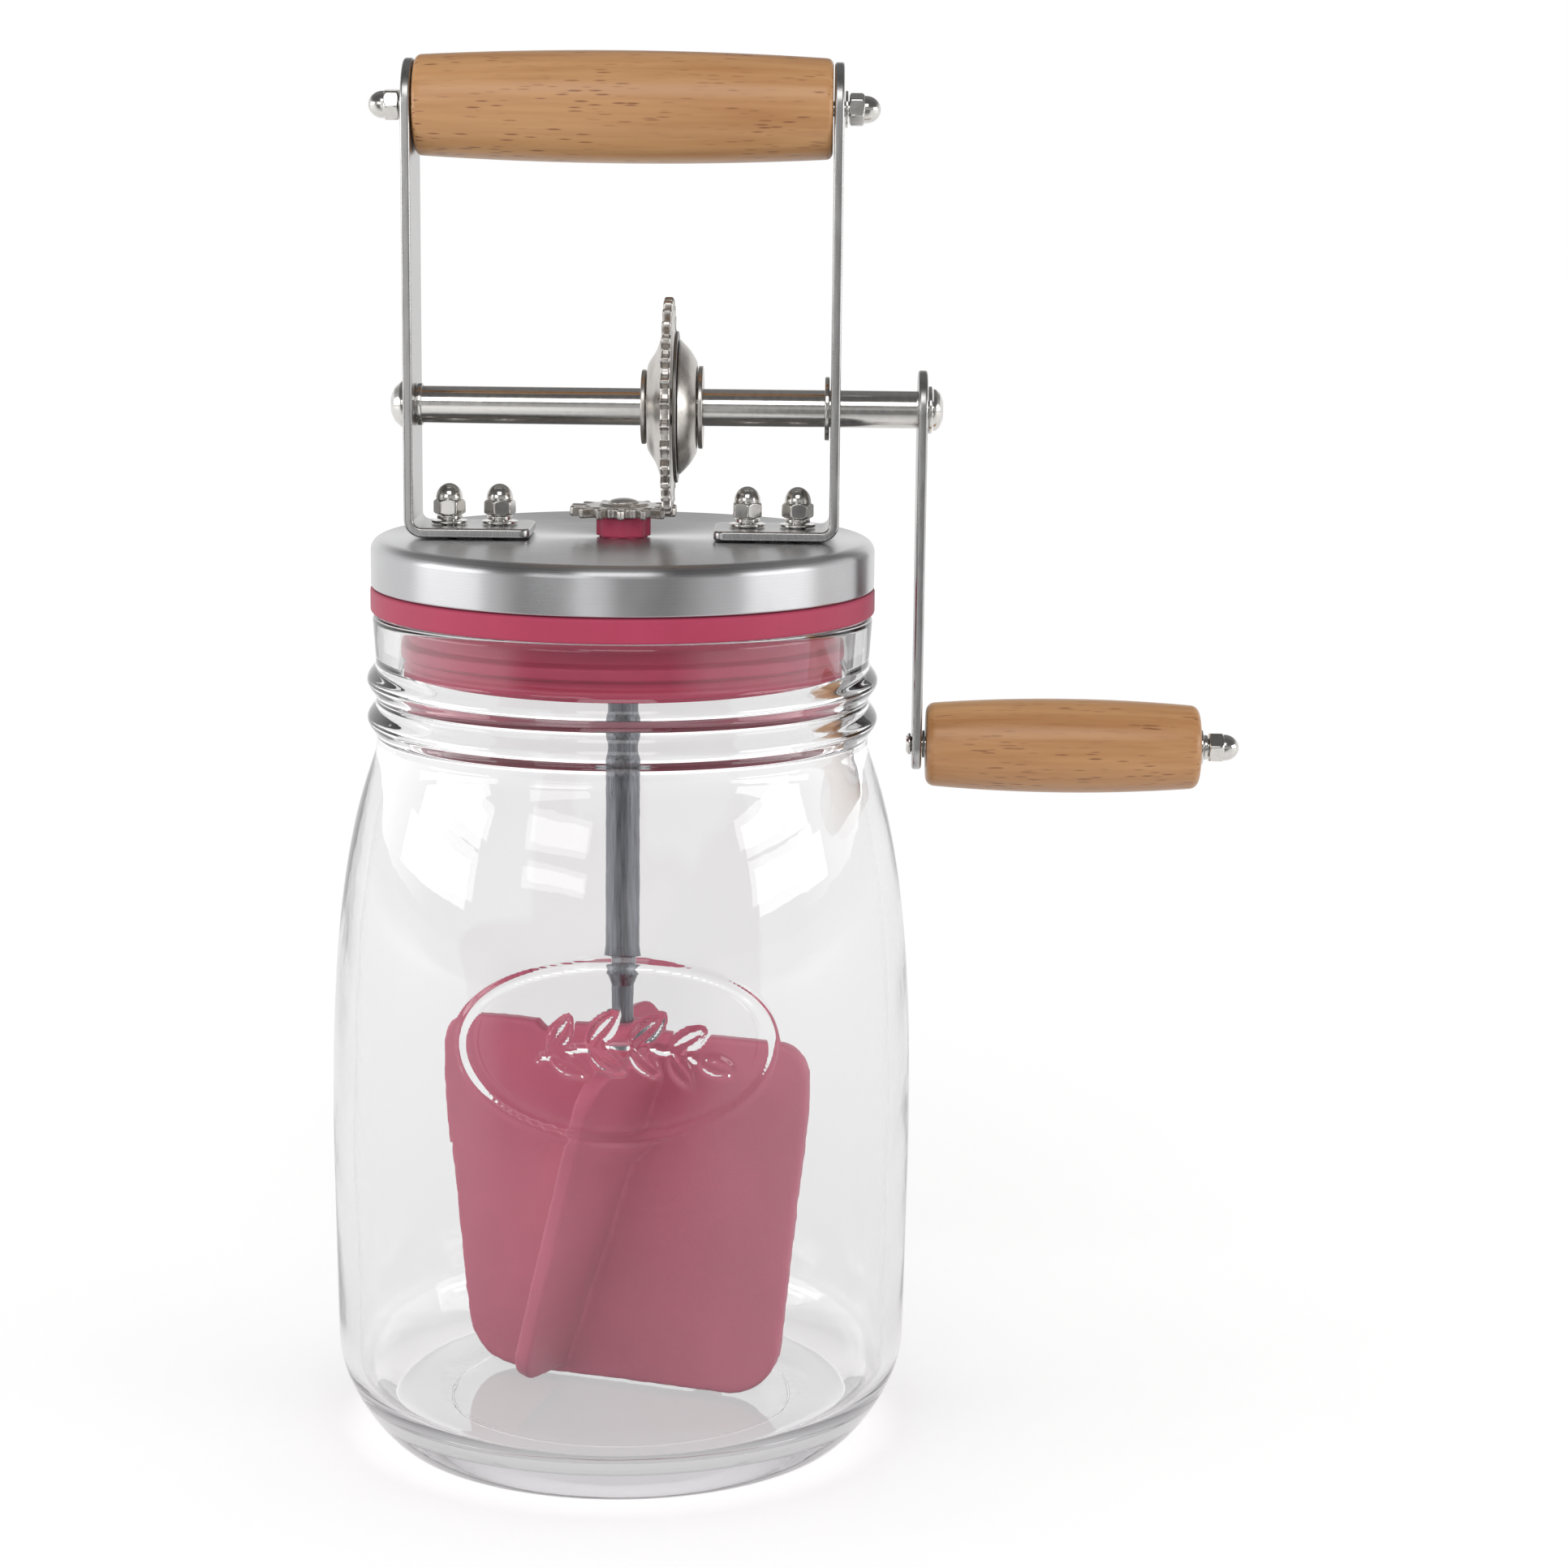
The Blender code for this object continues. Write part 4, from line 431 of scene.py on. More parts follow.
class Paint(Nodes):
    """One material in the making."""

    def __init__(self, name):
        self.material = bpy.data.materials.new(name)
        self.material.use_nodes = True
        super().__init__(self.material.node_tree)
        self.shader = self.tree.nodes["Principled BSDF"]
        self.place = self.node("ShaderNodeTexCoord").outputs["Object"]

    def set(self, **values):
        for key, value in values.items():
            self.feed(self.shader.inputs[key.replace("_", " ")], value)

    def stretch(self, scale, vector=None):
        inputs = {"Vector": vector or self.place, "Scale": scale}
        return self.node("ShaderNodeMapping", inputs).outputs["Vector"]

    def turned_place(self):
        """The place as (distance from the upright axis, height)."""
        x, y, z = self.parts(self.place)
        flat = self.node("ShaderNodeCombineXYZ", {0: x, 1: y})
        return self.node("ShaderNodeCombineXYZ", {0: self.length(flat.outputs[0]), 2: z}).outputs[0]

    def noise(self, vector, scale, detail=3.0, distortion=0.0):
        inputs = {"Vector": vector, "Scale": scale, "Detail": detail, "Distortion": distortion}
        return self.node("ShaderNodeTexNoise", inputs).outputs["Fac"]

    def cells(self, vector, scale):
        return self.node("ShaderNodeTexVoronoi", {"Vector": vector, "Scale": scale}).outputs["Distance"]

    def mix(self, share, first, second):
        """Two colours mixed; inputs 6 and 7 and output 2 are the node's colour sockets."""
        ends = [(*end, 1.0) if isinstance(end, tuple) else end for end in (first, second)]
        return self.node("ShaderNodeMix", {0: share, 6: ends[0], 7: ends[1]}, data_type="RGBA").outputs[2]

    def bump(self, height, depth):
        bump = self.node("ShaderNodeBump", {"Height": height, "Distance": depth, "Strength": 1.0})
        self.feed(self.shader.inputs["Normal"], bump.outputs["Normal"])


def steel(name, bright, dark, rough, grain, grain_depth, lathe_marks=False, anisotropy=0.0):
    """Worked steel: fine marks along one direction, cloudy patches and small changes of gloss."""
    paint = Paint(name + "_look")
    place = paint.turned_place() if lathe_marks else paint.place
    marks = paint.noise(paint.stretch(grain, place), 1.0, 4.0)
    cloud = paint.noise(paint.place, 70.0, 4.0, 0.4)
    share = paint.times(marks, paint.span(cloud, 0.3, 0.7, 0.75, 1.25))
    paint.set(Base_Color=paint.mix(paint.span(share, 0.25, 0.75), dark, bright),
              Roughness=paint.span(paint.add(marks, cloud), 0.6, 1.4, *rough),
              Metallic=1.0, Anisotropic=anisotropy)
    if anisotropy:
        paint.set(Anisotropic_Rotation=0.25)
        tangent = paint.node("ShaderNodeTangent", direction_type="RADIAL", axis="Z")
        paint.feed(paint.shader.inputs["Tangent"], tangent.outputs[0])
    paint.bump(marks, grain_depth)
    return paint.material


def spindle_steel():
    """Drawn grey steel, dark under the lid and lighter from the cap's top up over the pinion."""
    paint = Paint("spindle_steel_look")
    marks = paint.noise(paint.stretch((2400.0, 2400.0, 110.0)), 1.0, 4.0)
    height = paint.parts(paint.place)[2]
    share = paint.span(marks, 0.3, 0.7)
    grey = paint.mix(share, (0.15, 0.16, 0.18), (0.28, 0.29, 0.31))
    # Lighter tone from the cap's top upwards, darker below it: a change of tone by height alone
    above_cap_tone = paint.mix(share, (0.56, 0.54, 0.51), (0.70, 0.68, 0.65))
    paint.set(Base_Color=paint.mix(paint.span(height, CAP_TOP, PINION_TOP), grey, above_cap_tone),
              Roughness=paint.span(marks, 0.3, 0.7, 0.26, 0.40), Metallic=1.0)
    paint.bump(marks, 0.000008)
    return paint.material


def silicone(name, dark, bright):
    """Moulded silicone: dull, a little cloudy, with a very fine grain."""
    paint = Paint(name + "_look")
    cloud = paint.noise(paint.place, 45.0, 3.0)
    grain = paint.noise(paint.place, 2600.0, 2.0)
    paint.set(Base_Color=paint.mix(paint.span(cloud, 0.3, 0.7), dark, bright),
              Roughness=paint.span(cloud, 0.3, 0.7, 0.46, 0.58), IOR=1.41, Sheen_Weight=0.12,
              Sheen_Roughness=0.4)
    paint.bump(grain, 0.00002)
    return paint.material


def beech():
    """Oiled beech: long soft streaks along X, growth bands and short dark rays."""
    paint = Paint("oiled_beech_look")
    bands = paint.noise(paint.stretch((9.0, 95.0, 60.0)), 1.0, 5.0, 0.6)
    streaks = paint.noise(paint.stretch((28.0, 900.0, 900.0)), 1.0, 3.0)
    tone = paint.add(paint.times(bands, 0.75), paint.times(streaks, 0.25))
    wood = paint.mix(paint.span(tone, 0.32, 0.68), (0.395, 0.165, 0.052), (0.660, 0.360, 0.155))
    rays = paint.cells(paint.stretch((185.0, 1450.0, 1450.0)), 1.0)
    where = paint.noise(paint.stretch((45.0, 200.0, 200.0)), 1.0, 2.0)
    ray_share = paint.times(paint.span(rays, 0.33, 0.17), paint.span(where, 0.44, 0.58, 0.12, 0.75))
    paint.set(Base_Color=paint.mix(ray_share, wood, (0.200, 0.062, 0.018)),
              Roughness=paint.span(streaks, 0.3, 0.7, 0.32, 0.46), Coat_Weight=0.30, Coat_Roughness=0.22)
    paint.bump(paint.math("SUBTRACT", streaks, ray_share), 0.00005)
    return paint.material


def glass():
    """Clear pressed glass with slow waves in its surface and light through it for shadows."""
    paint = Paint("clear_glass_look")
    wave = paint.noise(paint.place, 26.0, 1.5)
    fine = paint.noise(paint.place, 160.0, 2.0)
    paint.set(Base_Color=(1.0, 1.0, 1.0, 1.0), Transmission_Weight=1.0, IOR=1.5, Roughness=0.0)
    paint.bump(paint.add(wave, paint.times(fine, 0.05)), 0.00032)
    shadow = paint.node("ShaderNodeLightPath").outputs["Is Shadow Ray"]
    clear = paint.node("ShaderNodeBsdfTransparent", {0: (0.92, 0.92, 0.92, 1.0)})
    mixer = paint.node("ShaderNodeMixShader", {0: shadow, 1: paint.shader.outputs[0], 2: clear.outputs[0]})
    haze = paint.node("ShaderNodeVolumeAbsorption", {"Color": (0.635, 0.622, 0.640, 1.0), "Density": 22.0})
    output = paint.tree.nodes["Material Output"]
    paint.feed(output.inputs["Surface"], mixer.outputs[0])
    paint.feed(output.inputs["Volume"], haze.outputs[0])
    return paint.material


def make_looks():
    """All the materials by name. A steel: bright and dark tone, gloss, grain, its depth."""
    steels = (
        ("brushed_steel", (0.60, 0.60, 0.61), (0.47, 0.47, 0.48), (0.25, 0.33), (7000, 1, 7000), 0.000005,
         True, 0.85),
        ("satin_steel", (0.56, 0.555, 0.55), (0.45, 0.445, 0.44), (0.22, 0.34), (1800, 1800, 160), 0.000003),
        ("polished_steel", (0.76, 0.74, 0.71), (0.66, 0.64, 0.61), (0.10, 0.19), (900, 900, 900), 0.000003),
        ("stamped_steel", (0.68, 0.65, 0.61), (0.54, 0.51, 0.48), (0.24, 0.36), (700, 700, 700), 0.000012),
        ("dark_steel", (0.38, 0.36, 0.34), (0.26, 0.25, 0.23), (0.34, 0.46), (900, 900, 900), 0.000008))
    silicones = (("red_silicone", (0.43, 0.040, 0.095), (0.50, 0.055, 0.120)),
                 # Painted reflection: the paddle's silicone is the seal's red painted paler, for the pale
                 # veil of reflected light the jar's glass lays over it
                 ("veil_painted_silicone", (0.50, 0.100, 0.170), (0.58, 0.125, 0.200)))
    looks = {"clear_glass": glass(), "spindle_steel": spindle_steel(), "oiled_beech": beech()}
    looks.update({row[0]: steel(*row) for row in steels})
    looks.update({row[0]: silicone(*row) for row in silicones})
    return looks


# Outline helpers
def arc_points(centre, radius, start, end, steps):
    """Points on an arc from one angle to the other, both ends included."""
    angles = [start + (end - start) * step / steps for step in range(steps + 1)]
    return [(centre[0] + radius * cos(a), centre[1] + radius * sin(a)) for a in angles]


def bezier_points(p0, p1, p2, p3, steps):
    """Points inside a cubic curve, without its two ends."""
    points = []
    for step in range(1, steps):
        t = step / steps
        s = 1 - t
        weights = (s * s * s, 3 * s * s * t, 3 * s * t * t, t * t * t)
        points.append(tuple(sum(w * p[i] for w, p in zip(weights, (p0, p1, p2, p3))) for i in (0, 1)))
    return points


def smooth_run(points, steps=RUN_STEPS):
    """Points on a smooth curve through a run of points."""
    padded = [points[0], *points, points[-1]]
    run = []
    for p0, p1, p2, p3 in zip(padded, padded[1:], padded[2:], padded[3:]):
        for step in range(steps):
            t = step / steps
            run.append(tuple(0.5 * (2 * p1[i] + (p2[i] - p0[i]) * t
                                    + (2 * p0[i] - 5 * p1[i] + 4 * p2[i] - p3[i]) * t * t
                                    + (3 * p1[i] - p0[i] - 3 * p2[i] + p3[i]) * t ** 3) for i in (0, 1)))
    return [*run, points[-1]]


def circle_outline(radius, sides=SMALL_FINE_SIDES, centre=(0, 0)):
    return [(centre[0] + radius * cos(tau * i / sides), centre[1] + radius * sin(tau * i / sides))
            for i in range(sides)]


def rounded_corner(corner, before, after, radius, steps):
    """An arc that rounds one corner of an outline, as large as its two edges leave room for."""
    ux, uy = before[0] - corner[0], before[1] - corner[1]
    vx, vy = after[0] - corner[0], after[1] - corner[1]
    u_len, v_len = hypot(ux, uy), hypot(vx, vy)
    if u_len < TINY or v_len < TINY:
        return [corner]
    ux, uy, vx, vy = ux / u_len, uy / u_len, vx / v_len, vy / v_len
    half = acos(max(-1, min(1, ux * vx + uy * vy))) / 2
    if not SHARPEST_CORNER <= half <= WIDEST_CORNER:
        return [corner]
    radius = min(radius, CORNER_ROOM * min(u_len, v_len) * tan(half))
    setback = radius / tan(half)
    bx, by = ux + vx, uy + vy
    reach = radius / sin(half) / hypot(bx, by)
    centre = (corner[0] + bx * reach, corner[1] + by * reach)
    start, end = (atan2(corner[1] + y * setback - centre[1], corner[0] + x * setback - centre[0])
                  for x, y in ((ux, uy), (vx, vy)))
    if abs(end - start) > pi:
        end -= tau if end > start else -tau
    return arc_points(centre, radius, start, end, steps)


def soften(points, radius, closed=False):
    """The outline with each of its corners rounded."""
    count = len(points)
    softened = []
    for i, corner in enumerate(points):
        if not closed and i in (0, count - 1):
            softened.append(corner)
        else:
            softened += rounded_corner(corner, points[i - 1], points[(i + 1) % count], radius, CORNER_STEPS)
    return softened


# Shape helpers
def skin(shape, rings, closed=False):
    """Faces between rings of corners, where a ring of one corner is a tip."""
    sides = max(len(ring) for ring in rings)
    for first, second in zip(rings, [*rings[1:], rings[0]] if closed else rings[1:]):
        for i in range(sides):
            corners = []
            for ring, at in ((first, i), (first, i + 1), (second, i + 1), (second, i)):
                corner = ring[at % len(ring)]
                if corner not in corners:
                    corners.append(corner)
            if len(corners) > 2:
                shape.faces.new(corners)
    bmesh.ops.recalc_face_normals(shape, faces=shape.faces)
    return shape


def lathe(profile, sides=ROUND_FINE_SIDES, closed=False, turns=None):
    """A shape turned round Z from points of (radius, height), through even turns or given ones."""
    shape = bmesh.new()
    rings = []
    turns = turns or [tau * i / sides for i in range(sides)]
    for radius, height in profile:
        around = turns if radius >= TINY else [0]
        rings.append([shape.verts.new((radius * cos(a), radius * sin(a), height)) for a in around])
    return skin(shape, rings, closed)


def turned_ring(bore, radius, bottom, top, edge=METAL_EDGE):
    profile = [(bore, top), (radius, top), (radius, bottom), (bore, bottom)]
    return lathe(soften(profile, edge, True), closed=True)


def new_object(name, data):
    made = bpy.data.objects.new(name, data)
    bpy.context.scene.collection.objects.link(made)
    return made


def mesh_of(name, shape):
    """A mesh made of a shape, which is then used up."""
    mesh = bpy.data.meshes.new(name)
    shape.to_mesh(mesh)
    shape.free()
    return mesh


def shape_of(holder):
    """The evaluated shape of a helper object, which is then deleted."""
    bpy.context.view_layer.update()
    graph = bpy.context.evaluated_depsgraph_get()
    mesh = bpy.data.meshes.new_from_object(holder.evaluated_get(graph))
    shape = bmesh.new()
    shape.from_mesh(mesh)
    bmesh.ops.remove_doubles(shape, verts=shape.verts, dist=WELD)
    bmesh.ops.recalc_face_normals(shape, faces=shape.faces)
    bpy.data.meshes.remove(mesh)
    bpy.data.objects.remove(holder, do_unlink=True)
    return shape


def plate(outline, holes, thickness, edge):
    """A flat piece cut to an outline, its edges rounded, centred on its own thickness."""
    curve = bpy.data.curves.new("helper", "CURVE")
    curve.dimensions = "2D"
    curve.fill_mode = "BOTH"
    curve.extrude = thickness / 2 - edge
    curve.bevel_depth = edge
    curve.bevel_resolution = EDGE_STEPS
    curve.offset = -edge
    for loop in [outline, *holes]:
        spline = curve.splines.new("POLY")
        spline.points.add(len(loop) - 1)
        for point, (x, y) in zip(spline.points, loop):
            point.co = (x, y, 0, 1)
        spline.use_cyclic_u = True
    return shape_of(new_object("helper", curve))


def join(shape, other):
    """Adds another shape to a shape."""
    mesh = mesh_of("helper", other)
    shape.from_mesh(mesh)
    bpy.data.meshes.remove(mesh)
    return shape


def box_shape(size, centre):
    shape = bmesh.new()
    bmesh.ops.create_cube(shape, size=1, matrix=Matrix.Translation(centre) @ Matrix.Diagonal((*size, 1)))
    return shape


def cut(shape, *tools):
    """The shape with other shapes cut away."""
    holder = new_object("helper", mesh_of("helper", shape))
    cutters = [new_object("helper", mesh_of("helper", tool)) for tool in tools]
    for cutter in cutters:
        modifier = holder.modifiers.new("cut", "BOOLEAN")
        modifier.operation = "DIFFERENCE"
        modifier.solver = "EXACT"
        modifier.object = cutter
    result = shape_of(holder)
    for cutter in cutters:
        bpy.data.objects.remove(cutter, do_unlink=True)
    return result


# Places: how a piece's own upright axis lies in the frame
def spun(angle, axis="Z"):
    return Matrix.Rotation(angle, 4, axis)


def raised(height, station=0, turn=0):
    return Matrix.Translation((station, 0, height)) @ spun(turn)


def along_x(station, height, side=1, turn=0):
    """Matrix that lays a piece's axis on X, at a station and height."""
    return Matrix.Translation((station, 0, height)) @ spun(side * pi / 2, "Y") @ spun(turn)


def on_shaft(station=0, side=1):
    return along_x(station, SHAFT_AXIS_HEIGHT, side)


def show(name, shape, body, place=Matrix(), slot="polished_steel", look=None, flat_faces=True):
    """Makes a piece of a shape, puts it on its body and lets it stand for its CAD node."""
    shape.transform(place)
    mesh = mesh_of(name + "_fine", shape)
    mesh.materials.append(LOOKS[look or slot])
    mesh.shade_smooth()
    mesh.set_sharp_from_angle(angle=SHARP_FINE_ANGLE)
    piece = new_object(name + "_fine", mesh)
    if flat_faces:
        weighted = piece.modifiers.new("flat_faces", "WEIGHTED_NORMAL")
        weighted.keep_sharp = True
    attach(piece, body)
    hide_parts(name)


# The jar
def shoulder_points(top_radius, body_radius, steps):
    top = JAR_HEIGHT - SHOULDER_DEPTH
    drop = top - JAR_WIDEST_HEIGHT
    swollen = top_radius + (body_radius - top_radius) * SHOULDER_SWELL_SHARE
    return bezier_points((top_radius, top), (top_radius, top - drop * SHOULDER_START_SHARE),
                         (swollen, top - drop * SHOULDER_BEND_SHARE), (body_radius, JAR_WIDEST_HEIGHT), steps)


def bead_points():
    """Two rounded rings round the neck."""
    waves = 24
    top = JAR_HEIGHT - BEAD_TOP_DEPTH
    return [(NECK_RADIUS + BEAD_RISE * (1 - cos(tau * step / waves)) / 2, top - BEAD_PITCH * step / waves)
            for step in range(BEAD_COUNT * waves + 1)]


def disc_points(radius, height):
    """Points across a flat round floor, from its middle to just inside its edge."""
    steps = 16
    return [(radius * step / steps, height) for step in range(steps)]


def jar_profile():
    inner_body = JAR_BODY_RADIUS - JAR_WALL
    inner_heel_radius = JAR_HEEL_RADIUS - JAR_WALL
    floor = JAR_BASE_THICKNESS
    heel = arc_points((inner_heel_radius - JAR_INNER_HEEL, floor + JAR_INNER_HEEL), JAR_INNER_HEEL,
                      -pi / 2, 0, steps=20)
    shoulder_top = JAR_HEIGHT - SHOULDER_DEPTH
    inside = [*disc_points(heel[0][0], floor), *heel, (inner_body, JAR_WIDEST_HEIGHT),
              *reversed(shoulder_points(NECK_BORE_RADIUS, inner_body, steps=48)),
              (NECK_BORE_RADIUS, shoulder_top)]
    rim_middle = JAR_HEIGHT - RIM_ROUNDING
    rim = [*arc_points((NECK_BORE_RADIUS + RIM_ROUNDING, rim_middle), RIM_ROUNDING, pi, pi / 2, steps=10),
           *arc_points((RIM_RADIUS - RIM_ROUNDING, rim_middle), RIM_ROUNDING, pi / 2, 0, steps=10)]
    heel_start = (JAR_HEEL_RADIUS, JAR_HEEL_HEIGHT)
    heel_end = (JAR_FOOT_RADIUS, 0)
    heel_handles = [(JAR_FOOT_RADIUS + (JAR_HEEL_RADIUS - JAR_FOOT_RADIUS) * out, JAR_HEEL_HEIGHT * up)
                    for out, up in HEEL_CURVE_SHARES]
    plain_step = 4
    shoulder = shoulder_points(NECK_RADIUS, JAR_BODY_RADIUS, steps=SHOULDER_STEPS * plain_step)
    shoulder = [point for i, point in enumerate(shoulder)
                if i % plain_step == 0 or abs(point[1] - BADGE_HEIGHT) < BADGE_HALF_TALL * BADGE_MARGIN]
    outside = [*bead_points(), (NECK_RADIUS, shoulder_top), *shoulder, (JAR_BODY_RADIUS, JAR_WIDEST_HEIGHT),
               heel_start, *bezier_points(heel_start, *heel_handles, heel_end, steps=24), heel_end]
    mould_ring = [(MOULD_RING_RADIUS + MOULD_RING_WIDTH / 2, 0), (MOULD_RING_RADIUS, MOULD_RING_DEPTH),
                  (MOULD_RING_RADIUS - MOULD_RING_WIDTH / 2, 0)]
    return [*inside, *rim, *outside, *mould_ring, *reversed(disc_points(mould_ring[-1][0], 0))]


def jar_turns():
    """Turns round the jar, close together across the badge and wider elsewhere."""
    middle = BADGE_TURN - pi / 2
    half = BADGE_HALF_WIDE * BADGE_MARGIN / JAR_BODY_RADIUS
    near = [middle - half + 2 * half * i / BADGE_STEPS for i in range(BADGE_STEPS)]
    rest = 2 * (pi - half)
    return near + [middle + half + rest * i / JAR_FINE_SIDES for i in range(JAR_FINE_SIDES)]


def ramp(value, width=BADGE_EDGE):
    """Rises smoothly from none at zero to full at a width."""
    t = max(0, min(1, value / width))
    return t * t * (3 - 2 * t)


def leaf_share(across, up, base, turn):
    """How much a leaf stands out at a place: flat, with sloping edges and a groove along its middle."""
    x, y = across - base[0], up - base[1]
    along = x * cos(turn) + y * sin(turn)
    aside = abs(y * cos(turn) - x * sin(turn))
    if not 0 < along < LEAF_LENGTH:
        return 0
    half = LEAF_HALF_WIDTH * sin(pi * (along / LEAF_LENGTH) ** LEAF_BELLY_SHARE) ** LEAF_ROUNDNESS
    groove = 1 - LEAF_GROOVE_SHARE * (1 - ramp(aside))
    return ramp(half - aside) * groove


def stem_place(along):
    """A place on the sprig's stem, from one end at -1 to the other at 1, and the stem's direction."""
    slope = -2 * STEM_ARCH * along / STEM_HALF
    return (STEM_HALF * along, STEM_ARCH * (0.5 - along * along)), atan(slope)


def badge_share(across, up):
    """How much the moulded badge stands out at a place: an oval ring round a plain leaf sprig."""
    square = (across / BADGE_HALF_WIDE) ** 2 + (up / BADGE_HALF_TALL) ** 2
    steepness = 2 * hypot(across / BADGE_HALF_WIDE ** 2, up / BADGE_HALF_TALL ** 2)
    shares = [0]
    if steepness > 0:
        shares.append(ramp(BADGE_RING_WIDTH / 2 - abs(square - 1) / steepness))
    if abs(across) < STEM_HALF:
        stem_up = STEM_ARCH * (0.5 - (across / STEM_HALF) ** 2)
        shares.append(ramp(BADGE_RING_WIDTH / 2 * BADGE_STEM_WIDTH_SHARE - abs(up - stem_up)))
    for station in LEAF_STATIONS:
        base, direction = stem_place(station)
        shares += [leaf_share(across, up, base, direction + side * LEAF_SPREAD) for side in (-1, 1)]
    shares.append(leaf_share(across, up, *stem_place(1)))
    return max(shares)


def show_jar():
    shape = lathe(jar_profile(), turns=jar_turns())
    shape.normal_update()
    middle = BADGE_TURN - pi / 2
    for vert in shape.verts:
        x, y, z = vert.co
        up = z - BADGE_HEIGHT
        across = ((atan2(y, x) - middle + pi) % tau - pi) * JAR_BODY_RADIUS
        outer = vert.normal.x * x + vert.normal.y * y > 0
        level = abs(up) < BADGE_HALF_TALL * BADGE_MARGIN
        if outer and level and abs(across) < BADGE_HALF_WIDE * BADGE_MARGIN:
            stretch = 1 + BADGE_RISE * badge_share(across, up) / hypot(x, y)
            vert.co.x *= stretch
            vert.co.y *= stretch
    show("glass_jar", shape, "jar", slot="clear_glass", flat_faces=False)


# The lid
def show_cap():
    middle = (CAP_RADIUS - CAP_CORNER_RADIUS, CAP_TOP - CAP_CORNER_RADIUS)
    corner = arc_points(middle, CAP_CORNER_RADIUS, pi / 2, 0, steps=14)
    inner_corner = arc_points(middle, CAP_CORNER_RADIUS - CAP_SHEET, 0, pi / 2, steps=10)
    lip = CAP_SHEET * CAP_LIP_SHARE
    bottom = arc_points((CAP_RADIUS - lip, CAP_BOTTOM + lip), lip, 0, -pi, steps=8)
    profile = [(BUSH_HOLE_RADIUS, CAP_TOP), *corner, *bottom, *inner_corner,
               (BUSH_HOLE_RADIUS, CAP_INNER_TOP)]
    show("lid_cap", lathe(profile, LID_FINE_SIDES, True), "lid", slot="brushed_steel")


def show_seal():
    plug_radius = NECK_BORE_RADIUS - SEAL_FIT
    ribs = [(plug_radius - SEAL_GROOVE_DEPTH * depth, JAR_HEIGHT - SEAL_PLUG_DEPTH * down)
            for down, depth in SEAL_RIB_SHARES]
    inside_cap = CAP_RADIUS - CAP_SHEET - SEAT_GAP
    pocket_floor = SEAL_TOP - SEAL_SCREW_POCKET_DEPTH
    back = pocket_floor - SEAL_WEB
    plug_inner = plug_radius - SEAL_GROOVE_DEPTH - SEAL_PLUG_WALL
    profile = [(inside_cap - CAP_CORNER_RADIUS, SEAL_TOP), (inside_cap, SEAL_TOP - CAP_CORNER_RADIUS),
               (inside_cap, SEAL_BAND_TOP), (SEAL_BAND_RADIUS, SEAL_BAND_TOP),
               (SEAL_BAND_RADIUS, SEAL_BAND_BOTTOM), (plug_radius - SEAL_RIB_STEP, SEAL_BAND_BOTTOM), *ribs,
               (plug_radius - SEAL_GROOVE_DEPTH, SEAL_PLUG_BOTTOM), (plug_inner, SEAL_PLUG_BOTTOM),
               (plug_inner - SEAL_BACK_DRAFT, back), (SEAL_HUB_RADIUS + SEAL_BACK_DRAFT, back),
               (SEAL_HUB_RADIUS, SEAL_HUB_BOTTOM), (BUSH_HOLE_RADIUS, SEAL_HUB_BOTTOM),
               (BUSH_HOLE_RADIUS, SEAL_TOP), (SEAL_HUB_RADIUS, SEAL_TOP), (SEAL_HUB_RADIUS, pocket_floor),
               (inside_cap - SEAL_RIM_WALL, pocket_floor), (inside_cap - SEAL_RIM_WALL, SEAL_TOP)]
    shape = lathe(soften(profile, SILICONE_EDGE, True), LID_FINE_SIDES, True)
    show("lid_seal", shape, "lid", slot="red_silicone")


def show_bush():
    bottom = CAP_TOP + SEAT_GAP
    top = PINION_BOTTOM - SEAT_GAP
    sides = BUSH_FLUTE_COUNT * BUSH_FLUTE_STEPS
    outline = []
    for step in range(sides):
        angle = tau * step / sides
        flute = BUSH_FLUTE_SHARE * BUSH_FLUTE_DEPTH * (1 - cos(BUSH_FLUTE_COUNT * angle)) / 2
        radius = BUSH_COLLAR_RADIUS - flute
        outline.append((radius * cos(angle), radius * sin(angle)))
    collar = plate(outline, [circle_outline(SPINDLE_BORE_RADIUS + BUSH_WALL / 2)], top - bottom, METAL_EDGE)
    collar.transform(raised((top + bottom) / 2))
    stem = turned_ring(SPINDLE_BORE_RADIUS, BUSH_STEM_RADIUS, SEAL_HUB_BOTTOM, top - BUSH_STEM_STEP)
    show("spindle_bush", join(collar, stem), "lid", slot="red_silicone")


# The brackets
def strip_blank():
    """Flat blank of a bracket: square end with rounded corners, round end, four holes."""
    half = STRIP_WIDTH / 2
    outer_bend = STRIP_BEND_RADIUS + STRIP_THICKNESS
    rise_start = FOOT_FLAT + BEND_LENGTH
    to_length = rise_start - (FOOT_BOTTOM + outer_bend)
    top = HANDLE_AXIS_HEIGHT + to_length
    outline = [*rounded_corner((0, -half), (0, 0), (FOOT_FLAT, -half), FOOT_CORNER_RADIUS, steps=8),
               (FOOT_FLAT, -half), (rise_start, -half),
               *arc_points((top, 0), half, -pi / 2, pi / 2, steps=48),
               (rise_start, half), (FOOT_FLAT, half),
               *rounded_corner((0, half), (FOOT_FLAT, half), (0, 0), FOOT_CORNER_RADIUS, steps=8)]
    stations = (FOOT_HOLE_EDGE_DISTANCE, FOOT_HOLE_EDGE_DISTANCE + FOOT_HOLE_SPACING,
                SHAFT_AXIS_HEIGHT + to_length, top)
    radii = (FASTENER_HOLE_RADIUS, FASTENER_HOLE_RADIUS, SHAFT_HOLE_RADIUS, FASTENER_HOLE_RADIUS)
    holes = [circle_outline(radius, centre=(station, 0)) for radius, station in zip(radii, stations)]
    return plate(outline, holes, STRIP_THICKNESS, STRIP_EDGE)


